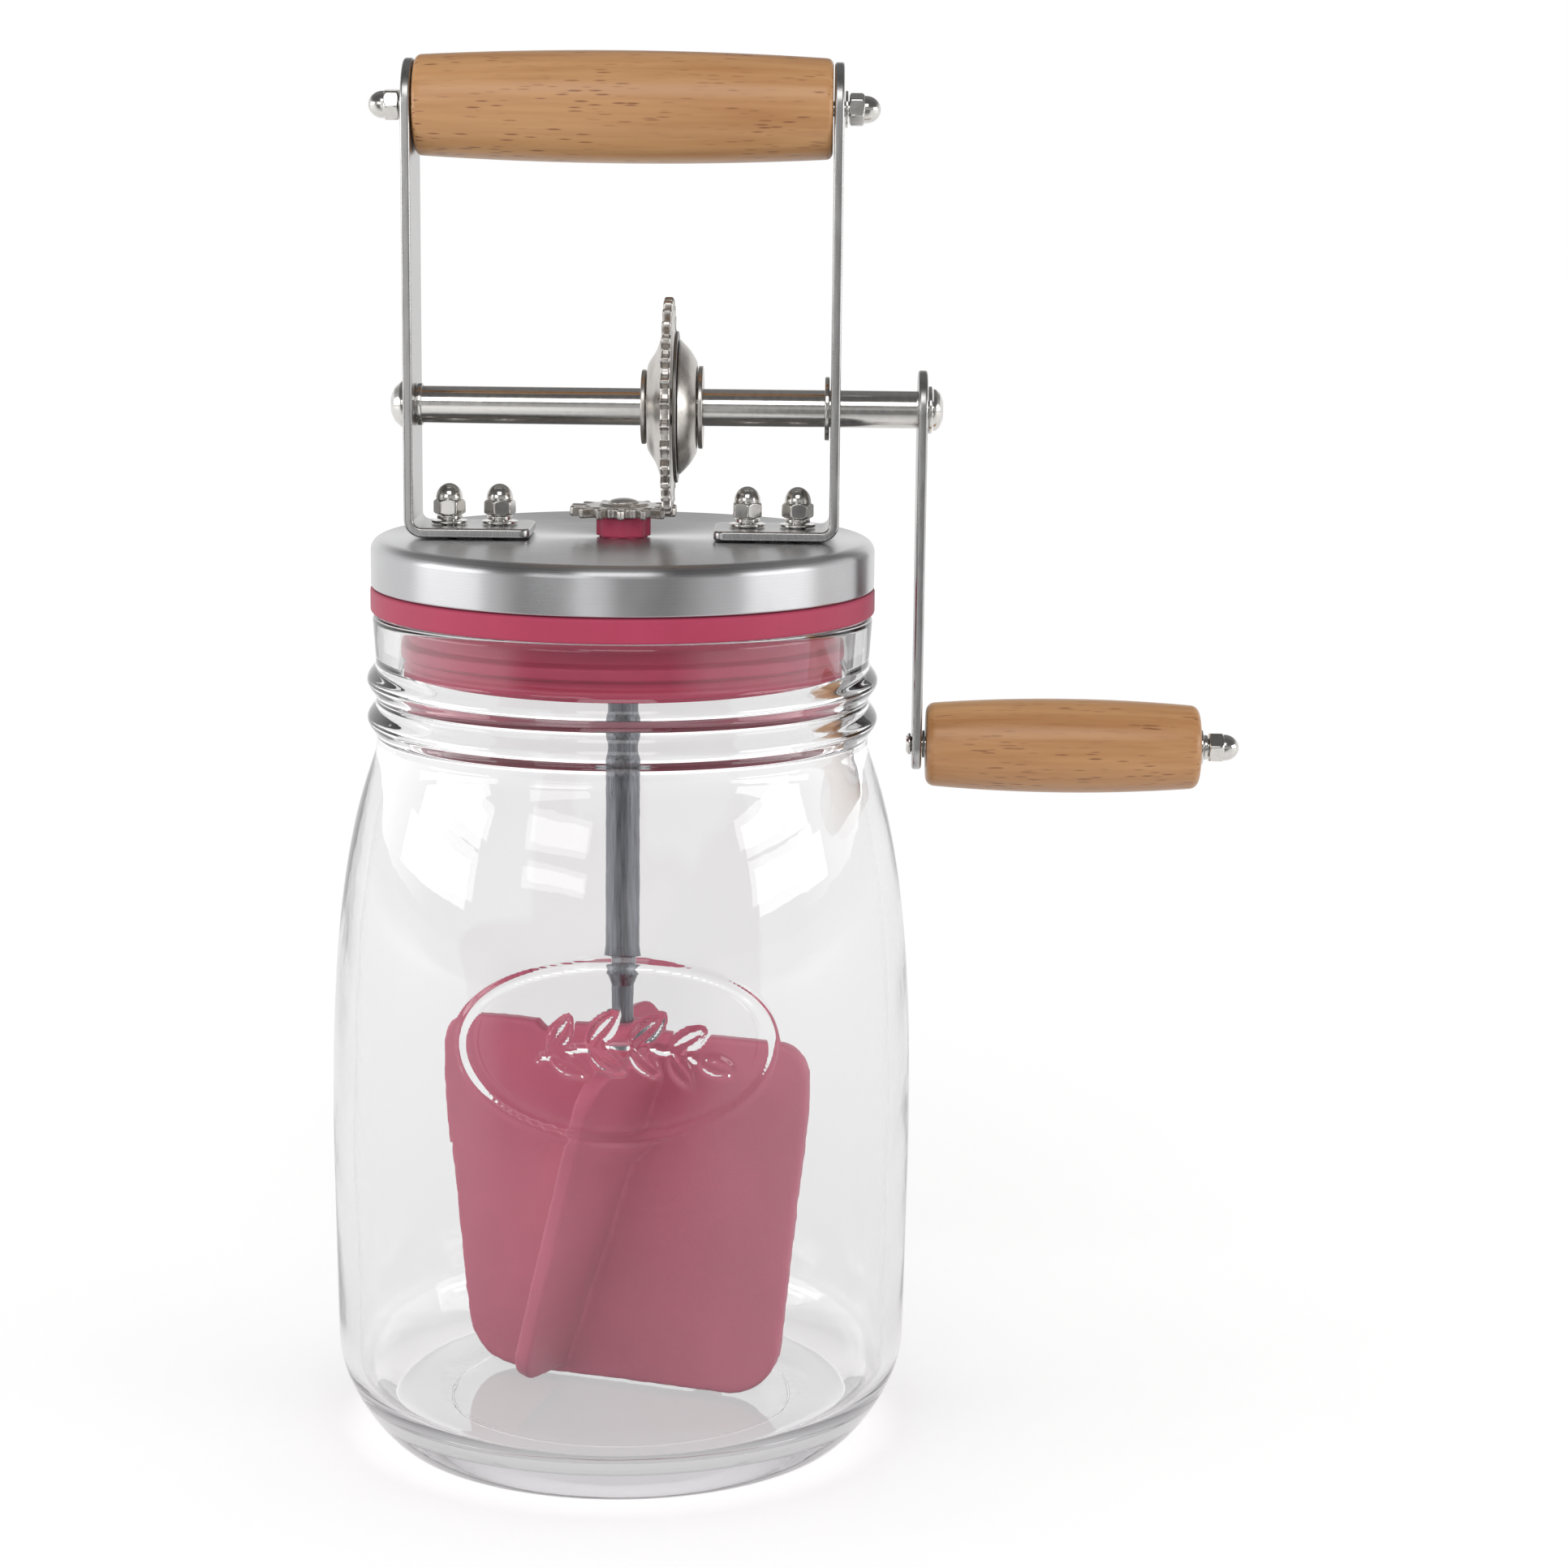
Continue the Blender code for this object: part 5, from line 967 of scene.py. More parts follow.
def bend_strip(shape):
    """Bends the flat blank up by a right angle."""
    bend_steps = 16
    for step in range(bend_steps + 1):
        station = FOOT_FLAT + BEND_LENGTH * step / bend_steps
        geometry = shape.verts[:] + shape.edges[:] + shape.faces[:]
        bmesh.ops.bisect_plane(shape, geom=geometry, dist=WELD, plane_co=(station, 0, 0), plane_no=(1, 0, 0))
    for vert in shape.verts:
        along, height = vert.co.x, vert.co.z
        if along > FOOT_FLAT:
            turn = min(1, (along - FOOT_FLAT) / BEND_LENGTH) * pi / 2
            past = max(0, along - FOOT_FLAT - BEND_LENGTH)
            radius = BEND_MIDDLE_RADIUS - height
            vert.co.x = FOOT_FLAT + radius * sin(turn)
            vert.co.z = BEND_MIDDLE_RADIUS - radius * cos(turn) + past
    bmesh.ops.recalc_face_normals(shape, faces=shape.faces)
    return shape


def show_brackets():
    inner_end = BRACKET_OUTER - FOOT_LENGTH
    for name, turn, side in (("bracket_right", 0, 1), ("bracket_left", pi, -1)):
        place = raised(FOOT_BOTTOM + STRIP_THICKNESS / 2, side * inner_end, turn)
        show(name, bend_strip(strip_blank()), "lid", place, "satin_steel")


# Fasteners
def softened_least(values, softness):
    """Close to the least of the values, but rounded where two are alike."""
    least = min(values)
    return least * sum((value / least) ** -softness for value in values) ** (-1 / softness)


def cap_nut():
    """A hexagon nut with turned chamfers, closed by a dome; its seat is at height zero."""
    corner = NUT_FLATS / 2 / cos(pi / HEX_SIDES)
    dome_start = NUT_HEX_HEIGHT + NUT_CHAMFER
    chamfer_run = corner - NUT_DOME_RADIUS
    turned = [(NUT_DOME_RADIUS * cos(a), dome_start + (NUT_HEIGHT - dome_start) * sin(a))
              for a in [pi / 2 * step / NUT_DOME_STEPS for step in range(NUT_DOME_STEPS - 1, -1, -1)]]
    turned.append((NUT_DOME_RADIUS, NUT_HEX_HEIGHT + NUT_CHAMFER * NUT_DOME_FOOT_SHARE))
    for step in range(NUT_TOP_STEPS + 1):
        out = step / NUT_TOP_STEPS
        fall = NUT_CHAMFER * NUT_TOP_BEVEL_SHARE * out ** NUT_TOP_BEVEL_CURVE
        turned.append((NUT_DOME_RADIUS + chamfer_run * out, NUT_HEX_HEIGHT - fall))
    turned.append((corner, NUT_HEX_HEIGHT / 2))
    for step in range(NUT_FOOT_STEPS + 1):
        back = step / NUT_FOOT_STEPS
        turned.append((corner - chamfer_run * back,
                       NUT_CHAMFER * NUT_FOOT_BEVEL_SHARE * (1 - back ** NUT_FOOT_BEVEL_CURVE)))
    sides = HEX_SIDES * NUT_WALL_STEPS
    shape = bmesh.new()
    flats = [pi / HEX_SIDES * (1 + 2 * i) for i in range(HEX_SIDES)]
    walls = []
    for i in range(sides):
        away = [cos(tau * i / sides - flat) for flat in flats]
        walls.append(softened_least([NUT_FLATS / 2 / near for near in away if near > 0.5], NUT_WALL_SOFTNESS))
    rings = [[shape.verts.new((0, 0, NUT_HEIGHT))]]
    for radius, height in turned:
        reaches = [softened_least([wall, radius], NUT_SOFTNESS) for wall in walls]
        rings.append([shape.verts.new((reach * cos(tau * i / sides), reach * sin(tau * i / sides), height))
                      for i, reach in enumerate(reaches)])
    bore = circle_outline(FASTENER_HOLE_RADIUS, sides)
    for height in (0, NUT_BORE_DEPTH):
        rings.append([shape.verts.new((x, y, height)) for x, y in bore])
    rings.append([shape.verts.new((0, 0, NUT_BORE_DEPTH))])
    return skin(shape, rings)


def spring_washer():
    """A split ring, its slot facing +X; its seat is at height zero."""
    inner = SPRING_WASHER_RADIUS - SPRING_WASHER_WALL
    outer_slot = asin(SPRING_WASHER_SLOT / 2 / SPRING_WASHER_RADIUS)
    inner_slot = asin(SPRING_WASHER_SLOT / 2 / inner)
    outline = arc_points((0, 0), SPRING_WASHER_RADIUS, outer_slot, tau - outer_slot, SMALL_FINE_SIDES)
    outline += arc_points((0, 0), inner, tau - inner_slot, inner_slot, SMALL_FINE_SIDES)
    shape = plate(outline, [], SPRING_WASHER_THICKNESS, METAL_EDGE / 2)
    shape.transform(raised(SPRING_WASHER_THICKNESS / 2))
    return shape


def flat_washer():
    return turned_ring(FASTENER_HOLE_RADIUS, WASHER_RADIUS, 0, WASHER_THICKNESS, METAL_EDGE / 2)


def pin(*profile):
    """A small turned piece from half its outline, given from its tip to its end."""
    return lathe(soften(list(profile), METAL_EDGE), SMALL_FINE_SIDES)


def foot_screw(shank_length):
    return pin((0, shank_length), (THREAD_RADIUS, shank_length), (THREAD_RADIUS, 0),
               (SCREW_HEAD_RADIUS, 0), (SCREW_HEAD_RADIUS, -SCREW_HEAD_EDGE),
               (SCREW_HEAD_RADIUS - SCREW_HEAD_EDGE, -SCREW_HEAD_HEIGHT), (0, -SCREW_HEAD_HEIGHT))


def seats_above(washer_seat):
    """Seats of a split washer and a cap nut that lie on a flat washer, and of the tip of the thread."""
    spring_seat = washer_seat + WASHER_THICKNESS + SEAT_GAP
    nut_seat = spring_seat + SPRING_WASHER_THICKNESS + SEAT_GAP
    return spring_seat, nut_seat, nut_seat + NUT_BORE_DEPTH - SCREW_TIP_GAP


def show_foot_fasteners():
    inner = BRACKET_OUTER - FOOT_LENGTH + FOOT_HOLE_EDGE_DISTANCE
    outer = inner + FOOT_HOLE_SPACING
    stations = (("left_outer", -outer), ("left_inner", -inner),
                ("right_inner", inner), ("right_outer", outer))
    washer_seat = FOOT_TOP + SEAT_GAP
    spring_seat, nut_seat, tip = seats_above(washer_seat)
    screw_seat = CAP_INNER_TOP - SEAT_GAP
    for (name, station), turn in zip(stations, FOOT_NUT_TURNS):
        show("foot_screw_" + name, foot_screw(tip - screw_seat), "lid", raised(screw_seat, station))
        show("foot_washer_" + name, flat_washer(), "lid", raised(washer_seat, station))
        show("foot_spring_washer_" + name, spring_washer(), "lid", raised(spring_seat, station, turn))
        show("foot_cap_nut_" + name, cap_nut(), "lid", raised(nut_seat, station, turn), flat_faces=False)


# The carrying handle
def barrel(length, end_radius, mid_radius, edge_radius):
    """A wooden barrel from height zero up: bored through, swelling to its middle, its edges round."""
    bore = FASTENER_HOLE_RADIUS
    rise = mid_radius - end_radius
    bow = ((length / 2) ** 2 + rise * rise) / (2 * rise)
    steps = 40
    heights = [length - length * step / steps for step in range(steps + 1)]
    side = [(mid_radius - bow + sqrt(bow * bow - (height - length / 2) ** 2), height) for height in heights]
    margin = edge_radius * BARREL_EDGE_ROOM
    profile = [(bore, length), *rounded_corner(side[0], (bore, length), side[3], edge_radius, steps=8),
               *[point for point in side if margin < point[1] < length - margin],
               *rounded_corner(side[-1], side[-4], (bore, 0), edge_radius, steps=8), (bore, 0)]
    return lathe(profile, closed=True)


def show_handle():
    height = HANDLE_AXIS_HEIGHT
    wood_half = BRACKET_INNER - SEAT_GAP
    wood = barrel(2 * wood_half, HANDLE_END_RADIUS, HANDLE_MID_RADIUS, HANDLE_EDGE_RADIUS)
    show("handle_grip", wood, "lid", along_x(-wood_half, height), "oiled_beech", flat_faces=False)
    washer_seat = BRACKET_OUTER + SEAT_GAP
    nut_seat = washer_seat + WASHER_THICKNESS + SEAT_GAP
    rod_half = nut_seat + NUT_BORE_DEPTH - SCREW_TIP_GAP
    rod = pin((0, rod_half), (THREAD_RADIUS, rod_half), (THREAD_RADIUS, -rod_half), (0, -rod_half))
    show("handle_tie_rod", rod, "lid", along_x(0, height))
    for name, side, turn in zip(("left", "right"), (-1, 1), HANDLE_NUT_TURNS):
        show("handle_washer_" + name, flat_washer(), "lid", along_x(side * washer_seat, height, side))
        show("handle_cap_nut_" + name, cap_nut(), "lid", along_x(side * nut_seat, height, side, turn),
             flat_faces=False)


# The drive shaft
def show_shaft():
    left = -BRACKET_OUTER - SEAT_GAP
    right = ARM_RIGHT
    profile = soften([(0, right), (SHAFT_RADIUS, right), (SHAFT_RADIUS, left), (0, left)], METAL_EDGE)
    flat_start = ARM_LEFT - SEAT_GAP
    flat_length = right - flat_start + CUT_OVERRUN
    flat_depth = SHAFT_RADIUS - SHAFT_FLAT_HALF + CUT_OVERRUN
    size = (2 * (SHAFT_RADIUS + CUT_OVERRUN), flat_depth, flat_length)
    tools = [box_shape(size, (0, side * (SHAFT_FLAT_HALF + flat_depth / 2), flat_start + flat_length / 2))
             for side in (-1, 1)]
    show("drive_shaft", cut(lathe(profile), *tools), "crank", on_shaft())


def screw_head(radius, height, shares):
    """A rounded head with crossed slots, its seat at height zero, and its shank below."""
    dome = [(radius * out, height * up) for out, up in shares]
    profile = soften([(0, height), *dome, (radius, 0)], height / 2)
    profile += [(SHAFT_SCREW_RADIUS, 0), (SHAFT_SCREW_RADIUS, -SHAFT_SCREW_LENGTH), (0, -SHAFT_SCREW_LENGTH)]
    reach = radius * RECESS_REACH_SHARE * 2
    centre = (0, 0, height - (RECESS_DEPTH - CUT_OVERRUN) / 2)
    depth = RECESS_DEPTH + CUT_OVERRUN
    tools = [box_shape((reach, RECESS_WIDTH, depth), centre), box_shape((RECESS_WIDTH, reach, depth), centre)]
    return cut(lathe(profile), *tools)


def show_shaft_ring(name, radius, length, station, slot="polished_steel", bore=SHAFT_HOLE_RADIUS,
                    edge=METAL_EDGE):
    """A plain ring on the shaft's axis, from a station to the right."""
    show(name, turned_ring(bore, radius, 0, length, edge), "crank", on_shaft(station), slot)


def show_shaft_fittings():
    show_shaft_ring("shaft_collar_left", SHAFT_COLLAR_RADIUS, SHAFT_COLLAR_LENGTH, -BRACKET_INNER + SEAT_GAP,
                    edge=METAL_EDGE / 2)
    show_shaft_ring("shaft_washer_right", SHAFT_WASHER_RADIUS, SHAFT_WASHER_THICKNESS,
                    BRACKET_INNER - SEAT_GAP - SHAFT_WASHER_THICKNESS)
    head = screw_head(SHAFT_END_HEAD_RADIUS, SHAFT_END_HEAD_HEIGHT, SHAFT_END_HEAD_SHARES)
    show("shaft_end_screw", head, "crank", on_shaft(-BRACKET_OUTER - SEAT_GAP - SEAT_GAP, -1))
    washer_start = ARM_RIGHT + SEAT_GAP
    show_shaft_ring("crank_washer", CRANK_WASHER_RADIUS, CRANK_WASHER_THICKNESS, washer_start,
                    bore=SHAFT_SCREW_RADIUS + SCREW_CLEARANCE)
    head = screw_head(CRANK_SCREW_HEAD_RADIUS, CRANK_SCREW_HEAD_HEIGHT, CRANK_SCREW_HEAD_SHARES)
    show("crank_screw", head, "crank", on_shaft(washer_start + CRANK_WASHER_THICKNESS + SEAT_GAP))


# The stamped gear pair
def share_at(shares, across):
    """The smoothed height of a tooth outline at a place across one tooth, from -0.5 to 0.5."""
    points = [*shares, (shares[0][0] + 1, shares[0][1])]
    for (x0, y0), (x1, y1) in zip(points, points[1:]):
        if x0 <= across <= x1:
            return y0 + (y1 - y0) * (1 - cos(pi * (across - x0) / (x1 - x0))) / 2
    return points[-1][1]


def eroded(edge, spacing, depth):
    """A ring's radii, moved inward everywhere by a distance, as a ball of that size would leave them."""
    count = len(edge)
    reach = int(depth / spacing)
    falls = [(shift, sqrt(max(0, depth * depth - (shift * spacing) ** 2)))
             for shift in range(-reach, reach + 1)]
    return [min(edge[(i + shift) % count] - fall for shift, fall in falls) for i in range(count)]


def toothed_ring(teeth, inner, root, depth, shares, bottom, top, start=0):
    """A flat rim with fat teeth, round along every edge."""
    half = (top - bottom) / 2
    around = teeth * TOOTH_STEPS
    edge = [root + depth * share_at(shares, (i % TOOTH_STEPS) / TOOTH_STEPS - 0.5) for i in range(around)]
    spacing = tau * (root + depth / 2) / around
    bulge = [(TOOTH_ROUNDING * (1 - sin(a)), half - TOOTH_ROUNDING * (1 - cos(a)))
             for a in [pi / 2 * step / RUN_STEPS for step in range(RUN_STEPS + 1)]]
    web = [[inner] * around, [(inner + radius) / 2 for radius in eroded(edge, spacing, TOOTH_ROUNDING * 2)]]
    sections = [(web[0], half), (web[1], half)]
    sections += [(eroded(edge, spacing, inward), height) for inward, height in bulge]
    sections += [(eroded(edge, spacing, inward), -height) for inward, height in reversed(bulge)]
    sections += [(web[1], -half), (web[0], -half)]
    angles = [start + (i / TOOTH_STEPS - 0.5) * tau / teeth for i in range(around)]
    shape = bmesh.new()
    rings = [[shape.verts.new((radius * cos(a), radius * sin(a), height)) for radius, a in zip(radii, angles)]
             for radii, height in sections]
    skin(shape, rings, closed=True)
    shape.transform(raised((bottom + top) / 2))
    return shape


def show_drive_gear():
    flange_radius = GEAR_ROOT_RADIUS - GEAR_RIM_STEP
    teeth = toothed_ring(GEAR_TEETH, flange_radius - GEAR_RIM_OVERLAP, GEAR_ROOT_RADIUS, GEAR_TOOTH_DEPTH,
                         GEAR_TOOTH_SHARES, GEAR_RIM_LEFT, GEAR_RIM_RIGHT)
    spread = GEAR_DISH_RADIUS - GEAR_HUB_RADIUS
    runs = []
    for rim, hub in ((GEAR_RIM_RIGHT - GEAR_RIM_STEP, GEAR_HUB_RIGHT),
                     (GEAR_RIM_LEFT + GEAR_RIM_STEP, GEAR_HUB_LEFT)):
        dish = [(GEAR_HUB_RADIUS + spread * out, rim + (hub - rim) * deep) for out, deep in GEAR_DISH_SHARES]
        runs.append([(flange_radius, rim), (GEAR_DISH_RADIUS, rim), *dish, (GEAR_HUB_RADIUS, hub),
                     (GEAR_HUB_RADIUS - GEAR_RIM_OVERLAP, hub)])
    profile = [(SHAFT_HOLE_RADIUS, GEAR_HUB_RIGHT), *smooth_run(runs[0][::-1]), *smooth_run(runs[1]),
               (SHAFT_HOLE_RADIUS, GEAR_HUB_LEFT)]
    show("drive_gear", join(teeth, lathe(profile, closed=True)), "crank", on_shaft(), "stamped_steel",
         flat_faces=False)


def show_gear_stack():
    show_shaft_ring("gear_washer_left", GEAR_WASHER_RADIUS, GEAR_WASHER_THICKNESS,
                    GEAR_HUB_LEFT - SEAT_GAP - GEAR_WASHER_THICKNESS, "stamped_steel")
    show_shaft_ring("gear_backing_disc", BACKING_DISC_RADIUS, BACKING_DISC_THICKNESS, BACKING_DISC_LEFT,
                    "dark_steel")
    spread = DOME_RADIUS - DOME_HUB_RADIUS
    outside = [(DOME_HUB_RADIUS + spread * out, DOME_LEFT + DOME_HEIGHT * up)
               for out, up in reversed(DOME_CURVE_SHARES)]
    inside = [(DOME_HUB_RADIUS - DOME_SHEET + spread * out, DOME_LEFT + (DOME_HEIGHT - DOME_SHEET) * up)
              for out, up in DOME_CURVE_SHARES]
    outer_run = smooth_run([(DOME_HUB_RADIUS - DOME_SHEET, DOME_RIGHT), (DOME_HUB_RADIUS, DOME_RIGHT),
                            *outside, (DOME_RADIUS, DOME_LEFT)])
    profile = [(SHAFT_HOLE_RADIUS, DOME_RIGHT), *outer_run, (DOME_RADIUS - DOME_SHEET, DOME_LEFT), *inside,
               (DOME_HUB_RADIUS - DOME_SHEET, DOME_RIGHT - DOME_SHEET),
               (SHAFT_HOLE_RADIUS, DOME_RIGHT - DOME_SHEET)]
    show("gear_dome", lathe(profile, closed=True), "crank", on_shaft(), "stamped_steel", flat_faces=False)
    show_shaft_ring("gear_washer_right", DOME_WASHER_RADIUS, GEAR_WASHER_THICKNESS, DOME_RIGHT + SEAT_GAP,
                    "stamped_steel")


def show_pinion():
    teeth = toothed_ring(PINION_TEETH, PINION_BOSS_RADIUS - PINION_WEB_OVERLAP, PINION_ROOT_RADIUS,
                         PINION_TOOTH_DEPTH, PINION_TOOTH_SHARES, PINION_BOTTOM, PINION_TOP,
                         start=pi / PINION_TEETH)
    bore = SPINDLE_HEAD_RADIUS + SHAFT_CLEARANCE
    boss_bottom = PINION_BOTTOM - PINION_BOSS_SKIN
    profile = soften([(bore, BOSS_TOP), (PINION_BOSS_RADIUS - PINION_BOSS_RISE, BOSS_TOP),
                      (PINION_BOSS_RADIUS, PINION_TOP), (PINION_BOSS_RADIUS, boss_bottom),
                      (bore, boss_bottom)], METAL_EDGE, True)
    boss = lathe(profile, closed=True)
    show("pinion", join(teeth, boss), "spindle", slot="stamped_steel", flat_faces=False)


# Spindle and paddle
def show_spindle():
    shoulder = PINION_BOTTOM - SEAT_GAP
    head = [(SPINDLE_HEAD_RADIUS * x, BOSS_TOP + SPINDLE_HEAD_RISE * y)
            for x, y in arc_points((0, 0), 1.0, pi / 2, 0, steps=10)]
    body = soften([head[-1], (SPINDLE_HEAD_RADIUS, shoulder), (SPINDLE_RADIUS, shoulder),
                   (SPINDLE_RADIUS, SPINDLE_TAPER_TOP),
                   (SPINDLE_TANG_RADIUS, SPINDLE_TAPER_TOP - SPINDLE_TAPER_LENGTH),
                   (SPINDLE_TANG_RADIUS, SPINDLE_TANG_BOTTOM), (0, SPINDLE_TANG_BOTTOM)], METAL_EDGE)
    shape = lathe([(0, BOSS_TOP + SPINDLE_HEAD_RISE), *head[1:], *body[1:]])
    show("spindle", shape, "spindle", look="spindle_steel")
    collar_top = SEAL_HUB_BOTTOM - SEAT_GAP
    collar_bottom = collar_top - SPINDLE_COLLAR_LENGTH
    collar = turned_ring(SPINDLE_BORE_RADIUS, SPINDLE_COLLAR_RADIUS, collar_bottom, collar_top)
    show("spindle_collar", collar, "spindle", look="spindle_steel")


def blade_outline():
    """The wide blade, seen square on: slanting sides, round corners, a notch each side of the hub."""
    side = (PADDLE_WIDEST_HALF, PADDLE_BOTTOM + (PADDLE_TOP - PADDLE_BOTTOM) * PADDLE_WIDEST_SHARE)
    sink = PADDLE_NOTCH_RADIUS - PADDLE_NOTCH_DEPTH
    open_angle = acos(sink / PADDLE_NOTCH_RADIUS)
    half = [*rounded_corner((PADDLE_FOOT_HALF, PADDLE_BOTTOM), (0, PADDLE_BOTTOM), side, PADDLE_BOTTOM_CORNER,
                            steps=16), side,
            *rounded_corner((PADDLE_WIDEST_HALF, PADDLE_TOP), side, (0, PADDLE_TOP), PADDLE_TOP_CORNER,
                            steps=14),
            *arc_points((PADDLE_NOTCH_OFFSET, PADDLE_TOP + sink), PADDLE_NOTCH_RADIUS, open_angle - pi / 2,
                        -open_angle - pi / 2, steps=12)]
    return half + [(-x, y) for x, y in reversed(half)]


def fin_outline():
    """One tilted fin in its own plane, from inside the hub out to its free edge."""
    top = PADDLE_TOP - FIN_TOP_DROP
    top_corner = (FIN_TOP_REACH, top)
    bottom_corner = (FIN_BOTTOM_REACH, PADDLE_BOTTOM + FIN_BOTTOM_RISE)
    root = (0, PADDLE_BOTTOM + PADDLE_THICKNESS / 2)
    outline = [root, *rounded_corner(bottom_corner, root, top_corner, FIN_BOTTOM_CORNER, steps=12),
               *rounded_corner(top_corner, bottom_corner, (0, top), FIN_TOP_CORNER, steps=12), (0, top)]
    return [(x, (y - FIN_PIVOT) / cos(PADDLE_FIN_TILT)) for x, y in outline]


def show_paddle():
    """Blade, tilted fins and hub, melted into one moulded piece."""
    stand = spun(pi / 2, "X")
    shape = plate(blade_outline(), [], PADDLE_THICKNESS, PADDLE_EDGE)
    shape.transform(spun(-PADDLE_TURN) @ stand)
    for side in (0, pi):
        fin = plate(fin_outline(), [], PADDLE_THICKNESS, PADDLE_EDGE)
        pivot = raised(FIN_PIVOT, turn=side - pi / 2 - PADDLE_FIN_TURN)
        fin.transform(pivot @ spun(-PADDLE_FIN_TILT, "X") @ stand)
        join(shape, fin)
    hub_top = PADDLE_TOP + PADDLE_HUB_RISE
    hub_bottom = hub_top - PADDLE_HUB_LENGTH
    hub = [(0, hub_top), (PADDLE_HUB_RADIUS - PADDLE_HUB_RISE, hub_top),
           (PADDLE_HUB_RADIUS, hub_top - PADDLE_HUB_RISE),
           (PADDLE_HUB_RADIUS, hub_bottom + PADDLE_HUB_RADIUS),
           (PADDLE_HUB_TIP_RADIUS, hub_bottom), (0, hub_bottom)]
    holder = new_object("helper", mesh_of("helper", join(shape, lathe(hub, SMALL_FINE_SIDES))))
    remesh = holder.modifiers.new("melt", "REMESH")
    remesh.mode = "VOXEL"
    remesh.voxel_size = PADDLE_VOXEL
    smooth = holder.modifiers.new("smooth", "SMOOTH")
    smooth.iterations = PADDLE_SMOOTHING
    smooth.factor = PADDLE_SMOOTH_SHARE
    # The paddle wears the red silicone painted paler, a painted reflection of the jar's glass over it
    show("paddle", shape_of(holder), "spindle", slot="red_silicone", look="veil_painted_silicone", flat_faces=False)


# Crank arm and grip
def show_crank_arm():
    lean = acos((ARM_SHAFT_END_RADIUS - ARM_GRIP_END_RADIUS) / CRANK_THROW)
    outline = arc_points((0, 0), ARM_SHAFT_END_RADIUS, lean, tau - lean, steps=56)
    outline += arc_points((CRANK_THROW, 0), ARM_GRIP_END_RADIUS, -lean, lean, steps=40)
    open_angle = asin((SHAFT_FLAT_HALF + SHAFT_CLEARANCE) / SHAFT_HOLE_RADIUS)
    seat = arc_points((0, 0), SHAFT_HOLE_RADIUS, -open_angle, open_angle, steps=16)
    seat += arc_points((0, 0), SHAFT_HOLE_RADIUS, pi - open_angle, pi + open_angle, steps=16)
    bolt_hole = circle_outline(FASTENER_HOLE_RADIUS, centre=(CRANK_THROW, 0))
    arm = plate(outline, [seat, bolt_hole], ARM_THICKNESS, STRIP_EDGE)
    show("crank_arm", arm, "crank", on_shaft((ARM_LEFT + ARM_RIGHT) / 2), "satin_steel")


def show_grip():
    height = SHAFT_AXIS_HEIGHT - CRANK_THROW
    wood = barrel(GRIP_LENGTH, GRIP_END_RADIUS, GRIP_MID_RADIUS, GRIP_EDGE_RADIUS)
    show("crank_grip", wood, "grip", along_x(GRIP_LEFT, height), "oiled_beech", flat_faces=False)
    spacer = turned_ring(FASTENER_HOLE_RADIUS, GRIP_SPACER_RADIUS, 0, GRIP_SPACER_THICKNESS, METAL_EDGE / 2)
    show("grip_spacer", spacer, "crank", along_x(ARM_RIGHT + SEAT_GAP, height), "dark_steel")
    washer_seat = GRIP_RIGHT + SEAT_GAP
    spring_seat, nut_seat, tip = seats_above(washer_seat)
    show("grip_washer", flat_washer(), "crank", along_x(washer_seat, height))
    show("grip_spring_washer", spring_washer(), "crank",
         along_x(spring_seat, height, turn=GRIP_SPRING_WASHER_TURN))
    show("grip_cap_nut", cap_nut(), "crank", along_x(nut_seat, height, turn=GRIP_NUT_TURN), flat_faces=False)
    head = ARM_LEFT - SEAT_GAP
    head_end = head - BOLT_HEAD_HEIGHT
    bolt = pin((0, tip), (THREAD_RADIUS, tip), (THREAD_RADIUS, head), (BOLT_HEAD_RADIUS, head),
               (BOLT_HEAD_RADIUS, head - BOLT_HEAD_HEIGHT / 2), (THREAD_RADIUS, head_end), (0, head_end))
    show("grip_bolt", bolt, "crank", along_x(0, height))


# Floor, light and camera
def softbox(name, azimuth, elevation, width, height, radiance):
    """A soft lamp aimed at the object: azimuth 0 is -Y, towards the camera, and 90 is +X."""
    light = bpy.data.lights.new(name, "AREA")
    light.shape = "RECTANGLE"
    light.size = width
    light.size_y = height
    light.energy = radiance * pi * width * height
    lamp = new_object(name, light)
    a, e = radians(azimuth), radians(elevation)
    direction = Vector((sin(a) * cos(e), -cos(a) * cos(e), sin(e)))
    lamp.location = direction * LAMP_DISTANCE + Vector((0, 0, SHAFT_AXIS_HEIGHT / 2))
    lamp.rotation_euler = direction.to_track_quat("Z", "Y").to_euler()
    lamp.visible_camera = False


